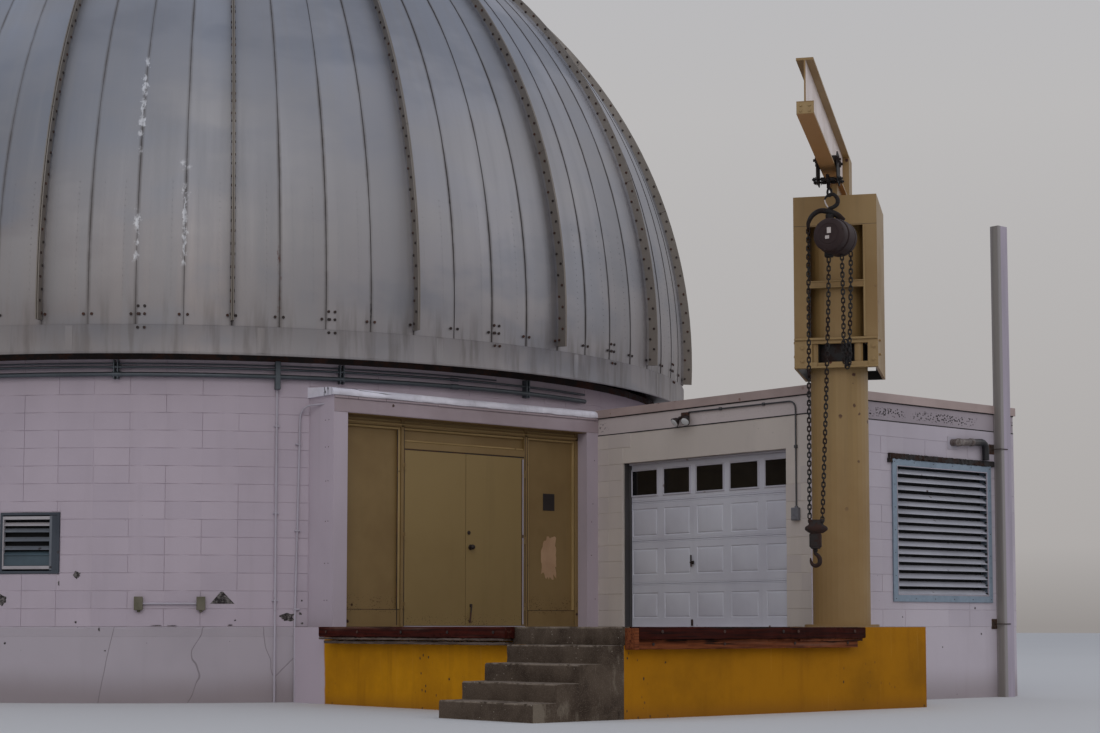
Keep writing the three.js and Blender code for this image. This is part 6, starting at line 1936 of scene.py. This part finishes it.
chainSet = {"pitch": 0.0445, "wire": 0.0071, "wide": 0.0160, "steps": 12}


def linkShell():
    # one link: a tube along an oval, straight sides with half circles at both ends
    wide, wire, steps = chainSet["wide"], chainSet["wire"], chainSet["steps"]
    straight = chainSet["pitch"] / 2 + wire - wide
    turn = np.linspace(0, 2 * np.pi, steps, endpoint=False) + np.pi / steps
    high = wide * np.sin(turn) + straight * np.sign(np.sin(turn))
    path = np.stack([np.zeros(steps), wide * np.cos(turn), high], -1)
    return ringTube(path, wire, 6)


def chain(route, start):
    # links set along a route one pitch apart, each turned a quarter round from the last
    lengths = np.concatenate([[0], np.cumsum(np.linalg.norm(np.diff(route, axis=0), axis=1))])
    at = np.arange(start + chainSet["pitch"] / 2, lengths[-1], chainSet["pitch"])
    middle = np.stack([np.interp(at, lengths, route[:, i]) for i in range(3)], -1)
    ahead = np.stack([np.interp(at + 0.01, lengths, route[:, i]) for i in range(3)], -1)
    behind = np.stack([np.interp(at - 0.01, lengths, route[:, i]) for i in range(3)], -1)
    up = ahead - behind
    quarter = (np.arange(len(at)) % 2)[:, None]
    twist = np.radians(6 + dice.normal(0, 5, len(at)))[:, None]
    x = np.concatenate([np.cos(twist), np.sin(twist), np.zeros_like(twist)], 1)
    y = np.concatenate([-np.sin(twist), np.cos(twist), np.zeros_like(twist)], 1)
    return placed(linkShell(), middle, x * (1 - quarter) + y * quarter, up)


def chainShells():
    # the load chain's two falls, its slack loop and a short tangle beside the loop
    slack = [(0, 0.132, 3.80), (0, 0.140, 3.2), (0.010, 0.139, 2.84), (0.014, 0.150, 2.68), (0.010, 0.172, 2.645),
             (0, 0.186, 2.69), (-0.008, 0.198, 2.9), (0, 0.216, 3.4), (0, 0.222, 3.84)]
    tangle = [(0.03, 0.158, 2.93), (0.035, 0.176, 2.80), (0.03, 0.160, 2.70), (0.025, 0.190, 2.668),
              (0.03, 0.205, 2.78), (0.02, 0.185, 2.93)]
    routes = (([(0, -0.211, 4.088), (0, -0.214, 3.2), (0, -0.222, 2.0), (0, -0.226, 1.085)], 0.0),
              ([(0, -0.003, 3.800), (0, -0.012, 3.3), (0, -0.046, 2.3), (0, -0.096, 1.085)], 0.02),
              (curveThrough(slack, 8), 0.0), (curveThrough(tangle, 8), 0.01))
    return [chain(np.array(route, float), start) for route, start in routes]


def blockShells():
    # the hook block: a lumpy forged head over a squared body, with the swivel and the hook under it
    turn = np.linspace(0, 2 * np.pi, 28, endpoint=False)
    profile = [(1.090, 0.020), (1.088, 0.062), (1.060, 0.070), (1.035, 0.074), (1.018, 0.104), (1.000, 0.112),
               (0.982, 0.110), (0.966, 0.088), (0.950, 0.066), (0.948, 0.020)]
    rings = []
    for z, r in profile:
        lump = 1 + 0.07 * np.cos(3 * turn + 9 * z) + 0.05 * np.sin(5 * turn)
        rings.append(np.stack([r * 0.62 * lump * np.cos(turn), -0.163 + r * lump * np.sin(turn),
                               np.full(28, z)], -1))
    c, s = math.cos(math.radians(62)), math.sin(math.radians(62))     # the way the hook faces
    bow = [(0.0, 0.775), (0.0, 0.745), (0.030, 0.722), (0.052, 0.684), (0.046, 0.640), (0.006, 0.620),
           (-0.036, 0.632), (-0.056, 0.668), (-0.060, 0.700)]
    radii = [0.018, 0.019, 0.021, 0.023, 0.023, 0.022, 0.018, 0.013, 0.006]
    return [swept(np.array(rings)),
            box(-0.046, 0.046, -0.228, -0.108, 0.800, 0.952, 0.014),
            box(-0.050, 0.050, -0.214, -0.122, 0.792, 0.812, 0.006),
            box(-0.030, 0.030, -0.242, -0.202, 1.050, 1.096, 0.010),
            box(-0.030, 0.030, -0.120, -0.080, 1.050, 1.096, 0.010),
            cylinder((0, -0.170, 0.800), (0, -0.170, 0.762), 0.024, 20),
            bentBar([(h * c, -0.170 + h * s, z) for h, z in bow], radii, normal=(s, -c, 0))]


def cranePaint(name, base, worn):
    # khaki paint: faded web, rust-brown underside of the boom, near-black painted shade on the inner faces of the
    # head by the rollers
    khaki = Finish(name)
    x, y, z = khaki.axes()
    c, s = math.cos(math.radians(craneSet["turn"])), math.sin(math.radians(craneSet["turn"]))
    east, north = x - craneSet["axis"][0], y - craneSet["axis"][1]
    along = east * c + north * s
    across = north * c - east * s
    height = z - floorZ
    fade = khaki.noise(0.8, 4, 0.6, shift=(5, 0, 0))
    colour = khaki.mix(khaki.between(fade, 0.35, 0.7), base, worn)
    run = khaki.noise(6, 3, 0.6, (1, 1, 0.05), (0, 5, 0))
    colour = khaki.mix(khaki.between(run, 0.5, 0.8) * 0.4, colour, tuple(v * 0.62 for v in base))
    web = khaki.below(across.math("ABSOLUTE"), 0.0085, 0.0095) * khaki.between(
        height, craneSet["boomLow"] + 0.03, craneSet["boomLow"] + 0.05) * khaki.below(
        along, craneSet["tip"] - 0.002, craneSet["tip"] - 0.001)
    colour = khaki.mix(web * khaki.between(khaki.noise(3, 3, 0.5), 0.35, 0.65, 1.0, 0.8), colour, seen(172, 162, 158))
    under = khaki.below(height, craneSet["boomLow"] + 0.001, craneSet["boomLow"] + 0.003) * khaki.between(
        height, craneSet["boomLow"] - 0.01, craneSet["boomLow"] - 0.008)
    colour = khaki.mix(under * khaki.between(fade, 0.3, 0.6, 0.95, 0.8), colour, seen(128, 91, 56))
    # painted shade: the inner faces of the head, by the rollers, near black
    inside = khaki.below(along, craneSet["front"] - 0.032, craneSet["front"] - 0.028) * khaki.below(
        height, 3.01, 3.03) * khaki.between(height, 2.70, 2.72) * khaki.below(
        across.math("ABSOLUTE"), 0.411, 0.413) * khaki.between(east * east + north * north, 0.094, 0.095)
    colour = khaki.mix(inside, colour, (0.010, 0.008, 0.007))
    seam = khaki.band(height + (fade - 0.5) * 0.004, 4.262, 0.0022, 0.002) * khaki.between(along, 0.345, 0.348)
    colour = khaki.mix(seam * 0.8, colour, seen(52, 40, 28))
    spot = khaki.cells(4.6, shift=(5, 3, 0)) + (khaki.noise(26, 3, 0.7) - 0.5) * 0.16
    spots = khaki.below(spot, 0.08, 0.13) * khaki.between(khaki.noise(1.0, 2, shift=(1, 0, 5)), 0.5, 0.6)
    colour = khaki.mix(spots, colour, seen(52, 26, 16))
    relief = khaki.noise(2, 3) * 0.6 + khaki.noise(60, 2) * 0.1 + spots * 0.4
    return khaki.paint(colour, khaki.between(fade, 0.3, 0.7, 0.42, 0.58), None, relief, 0.0015)


khakiBase, khakiWorn = seen(109, 88, 56), seen(101, 79, 48)
finishes.update({
    "crane": cranePaint("crane_paint_and_painted_shade", khakiBase, khakiWorn),
    "khaki": agedPaint("khaki_trim", seen(114, 94, 62), khakiWorn, seen(58, 28, 16), 5.0, rough=0.5),
    "blackSteel": rustySteel("black_steel", (0.007, 0.006, 0.006), (0.022, 0.010, 0.007), 3.0, metal=0.1, rough=0.8),
    "motor": agedPaint("motor_paint", seen(38, 20, 18, 1.7), seen(30, 15, 14, 1.7), seen(60, 30, 20), 51.0,
                       rough=0.6),
    "rusty": rustySteel("rusty_block", (0.012, 0.008, 0.007), (0.040, 0.017, 0.012), 8.0, metal=0.1, rough=0.85),
    "plate": agedPaint("bare_label", seen(150, 142, 138), seen(128, 120, 118), seen(70, 50, 42), 52.0, size=6),
})
addCrane("roller_frame", headShells(), "khaki", smooth=30, body="jib")
addCrane("crane_bolts", boltShells(), "khaki", smooth=30, body="jib")
addCrane("roller_track", trackShells(), "blackSteel", smooth=30, body="building")
addCrane("trolley_frame", trolleyShells(), "blackSteel", ["hoist_trolley"], smooth=35)
addCrane("hoist_arm", hoistShells(), "blackSteel", smooth=50)
addCrane("hoist_motor", motorShells(), "motor", ["chain_hoist"], smooth=28)
labels = [box(0.199, 0.2035, -0.022 + y, 0.022 + y, z - h, z + h, 0.001) for y, z, h in ((0.008, 0.040, 0.030),
                                                                                       (-0.012, -0.030, 0.017))]
addCrane("hoist_plates", [atMotor(s) for s in labels], "plate", smooth=0)
latch = bentBar([(0, -0.040, 4.392), (0, -0.030, 4.350), (0, -0.006, 4.305)], [0.006, 0.007, 0.007], sides=8)
addCrane("hook_latch", [latch], "plate", smooth=50)
addCrane("hoist_chains", chainShells(), "blackSteel", ["chain_and_hook"], smooth=60)
addCrane("hook_block", blockShells(), "rusty", smooth=45)
print("stage: crane made")


# Slit at the back: its arched rails and the closed shutter over them, and the rim round the crown plate
slitSet = {"foot": -2.6, "top": 94.72, "low": 6.664, "railHigh": 6.914, "half": 0.9995, "web": 0.014, "flange": 0.012,
           "skin": (6.918, 6.941), "sheets": 9, "batten": 6.9525, "edge": 6.954, "bolt": 2.6}


def archShell(low, high, start, end, left, right, steps=40):
    # a curved bar: a rectangle of radius and distance across, carried along an arc over the dome
    turn = np.radians(np.linspace(start, end, steps))[:, None]
    radius = np.array([[low, high, high, low]])
    across = np.broadcast_to(np.array([[left, left, right, right]]), (steps, 4))
    rings = np.stack([radius * np.cos(turn), across, domeSet["centre"] + radius * np.sin(turn)], -1)
    return turnedAbout(swept(rings), domeSet["slitAngle"])


def slitRails():
    # two channels with their backs to the gores, and a tie at each end
    s = slitSet
    shells = []
    for side in (-1, 1):
        outer = side * s["half"]
        shells.append(archShell(s["low"], s["railHigh"], s["foot"], s["top"], outer - side * s["web"], outer))
        for low in (s["low"], s["railHigh"] - s["flange"]):
            shells.append(archShell(low, low + s["flange"], s["foot"], s["top"], outer - side * 0.08, outer))
    for start in (s["foot"], s["top"] - 0.8):
        shells.append(archShell(s["low"], s["railHigh"] - 0.015, start, start + 0.8, -s["half"], s["half"], 4))
    return shells


def shutterSheets():
    # sheets laid across the slit, each lapped over the one below it, with battens and edge strips
    s = slitSet
    low, high = s["skin"]
    pitch = (s["top"] - s["foot"]) / s["sheets"]
    shells = []
    for k in range(s["sheets"]):
        start = s["foot"] + k * pitch
        middle = start + pitch / 2
        shells.append(archShell(low, high - 0.004 * (k % 2), start, start + pitch, -0.985, 0.985, 12))
        if k:
            shells.append(archShell(high - 0.01, s["batten"], start - 0.22, start + 0.22, -0.955, 0.955, 3))
        shells.append(archShell(high - 0.01, s["batten"] - 0.004, middle - 0.14, middle + 0.14, -0.93, 0.93, 3))
    return shells + [archShell(low, s["edge"], s["foot"], s["top"], side * 0.955, side * s["half"])
                     for side in (-1, 1)]


def slitBolts():
    # bolt heads along both edge strips, and round the crown plate's rim
    s = slitSet
    elevation = np.radians(np.arange(s["foot"] + 1, s["top"] - 0.5, s["bolt"]))
    flat = np.stack([np.cos(elevation), np.zeros_like(elevation), np.sin(elevation)], -1)
    origins = np.concatenate([flat * (s["edge"] - 0.006) + (0, side * 0.977, domeSet["centre"]) for side in (-1, 1)])
    bolts = placed(disc(0.012, 0.0055, 6), origins, np.concatenate([flat, flat]), (0, 1, 0))
    azimuth = domeSet["slitAngle"] + np.arange(64, 297, 6.0)
    rim = onSphere(azimuth, domeSet["crown"] + 0.05, domeSet["radius"] + 0.004)
    return [turnedAbout(bolts, domeSet["slitAngle"]),
            placed(disc(0.014, 0.008, 6), rim, rim - (0, 0, domeSet["centre"]), (1, 0, 0))]


def addSlit():
    piece("slit_rails", slitRails(), "dome", ["slit_frame"], body="dome")
    piece("shutter_sheets", shutterSheets(), "shutter", ["slit_shutter"], body="dome")
    radius = domeSet["radius"]
    rim = [onSphere(0.0, e, radius + r)[[0, 2]] for e, r in ((79.3, -0.010), (79.3, 0.005), (80.7, 0.005),
                                                            (80.7, -0.010))]
    ring = lathe(rim, 90, domeSet["slitAngle"] + 60, domeSet["slitAngle"] + 300)
    piece("crown_rim", ring, "dome", body="dome")
    piece("slit_bolts", slitBolts(), "steel", body="dome")
    print("stage: slit and shutter made")


addSlit()


# Solids that no piece replaces, by the finish that they take
keptSolids = {
    "block": ["drum_header", "portal_left_pier", "portal_right_pier", "portal_lintel"]
             + [f"drum_wall_{i}" for i in range(1, 6)],
    # the garage's and the room's walls take the copies of the wall paint with painted light
    "blockWarmPaintedLight": ["garage_wall_near", "garage_wall_far", "garage_wall_header"],
    "blockBrightPaintedLight": ["louvre_wall", "room_side_wall", "room_base"],
    "peeled": ["room_roof"], "coping": ["room_coping"], "slab": ["floor_slab"], "ochre": ["dock"],
    "steel": ["roller_ring"], "dome": ["dome_crown"], "crane": ["crane_pillar", "crane_head", "crane_boom"],
}
for key, names in keptSolids.items():
    for name in names:
        nodes[name].data.materials.clear()
        nodes[name].data.materials.append(finishes[key])


# Camera, studio floor and soft light
cameraSet = {"at": (-15.094, -25.239, 0.86), "heading": 40.5, "tilt": 4.40, "lens": 64.87, "rise": 0.098}


def addCamera():
    # the camera of the reference view: place, heading, tilt and lens as measured
    data = bpy.data.cameras.new("camera")
    data.lens, data.sensor_width, data.shift_y = cameraSet["lens"], 36.0, cameraSet["rise"]
    data.clip_end = 500
    camera = bpy.data.objects.new("camera", data)
    camera.location = cameraSet["at"]
    camera.rotation_euler = (math.radians(90 + cameraSet["tilt"]), 0, -math.radians(cameraSet["heading"]))
    bpy.context.scene.collection.objects.link(camera)
    bpy.context.scene.camera = camera


def addFloor():
    # a pale studio floor, which is stage and no part of the building
    reach = 220.0
    floor = bpy.data.meshes.new("studio_floor")
    floor.from_pydata([(-reach, -reach, 0), (reach, -reach, 0), (reach, reach, 0), (-reach, reach, 0)], [],
                      [(0, 1, 2, 3)])
    made = bpy.data.objects.new("studio_floor", floor)
    bpy.context.scene.collection.objects.link(made)
    pale = Finish("studio_floor_paint", Roughness=0.9)
    shade = pale.noise(0.05, 2)
    floor.materials.append(pale.paint(pale.mix(shade, (0.56, 0.55, 0.54), (0.60, 0.59, 0.58))))


def addSky():
    # a soft sky: warm grey at the horizon, pale grey above it, bluer overhead
    world = bpy.data.worlds.new("soft_sky")
    world.use_nodes = True
    bpy.context.scene.world = world
    tree = world.node_tree
    back = tree.nodes["Background"]
    place = tree.nodes.new("ShaderNodeTexCoord")
    split = tree.nodes.new("ShaderNodeSeparateXYZ")
    ramp = tree.nodes.new("ShaderNodeValToRGB")
    stops = [(0.0, (0.30, 0.28, 0.27)), (0.04, (0.42, 0.40, 0.39)), (0.25, (0.50, 0.49, 0.49)),
             (0.6, (0.46, 0.49, 0.56)), (1.0, (0.52, 0.57, 0.68))]
    while len(ramp.color_ramp.elements) < len(stops):
        ramp.color_ramp.elements.new(0.5)
    for element, (at, colour) in zip(ramp.color_ramp.elements, stops):
        element.position, element.color = at, (*colour, 1)
    tree.links.new(place.outputs["Generated"], split.inputs[0])
    tree.links.new(split.outputs["Z"], ramp.inputs["Fac"])
    tree.links.new(ramp.outputs["Color"], back.inputs["Color"])
    back.inputs["Strength"].default_value = 1.0


def addLight(name, at, target, size, power, colour):
    # a round area light at one point, turned to shine at another
    data = bpy.data.lights.new(name, "AREA")
    data.shape, data.size, data.energy, data.color = "DISK", size, power, colour
    lamp = bpy.data.objects.new(name, data)
    lamp.location = at
    away = np.array(at, float) - np.array(target, float)
    lamp.rotation_euler = (math.atan2(math.hypot(away[0], away[1]), away[2]), 0,
                           math.atan2(away[1], away[0]) + math.pi / 2)
    bpy.context.scene.collection.objects.link(lamp)


addCamera()
addFloor()
addSky()
addLight("key_light", (-34, -46, 36), (0, -5, 3), 44, 6000, (1.0, 0.985, 0.96))
addLight("fill_light", (40, -36, 30), (2, -4, 3), 36, 2500, (0.95, 0.97, 1.0))
scene = bpy.context.scene
scene.view_settings.view_transform = "Standard"
scene.view_settings.look = "None"
print("stage: camera and light set")
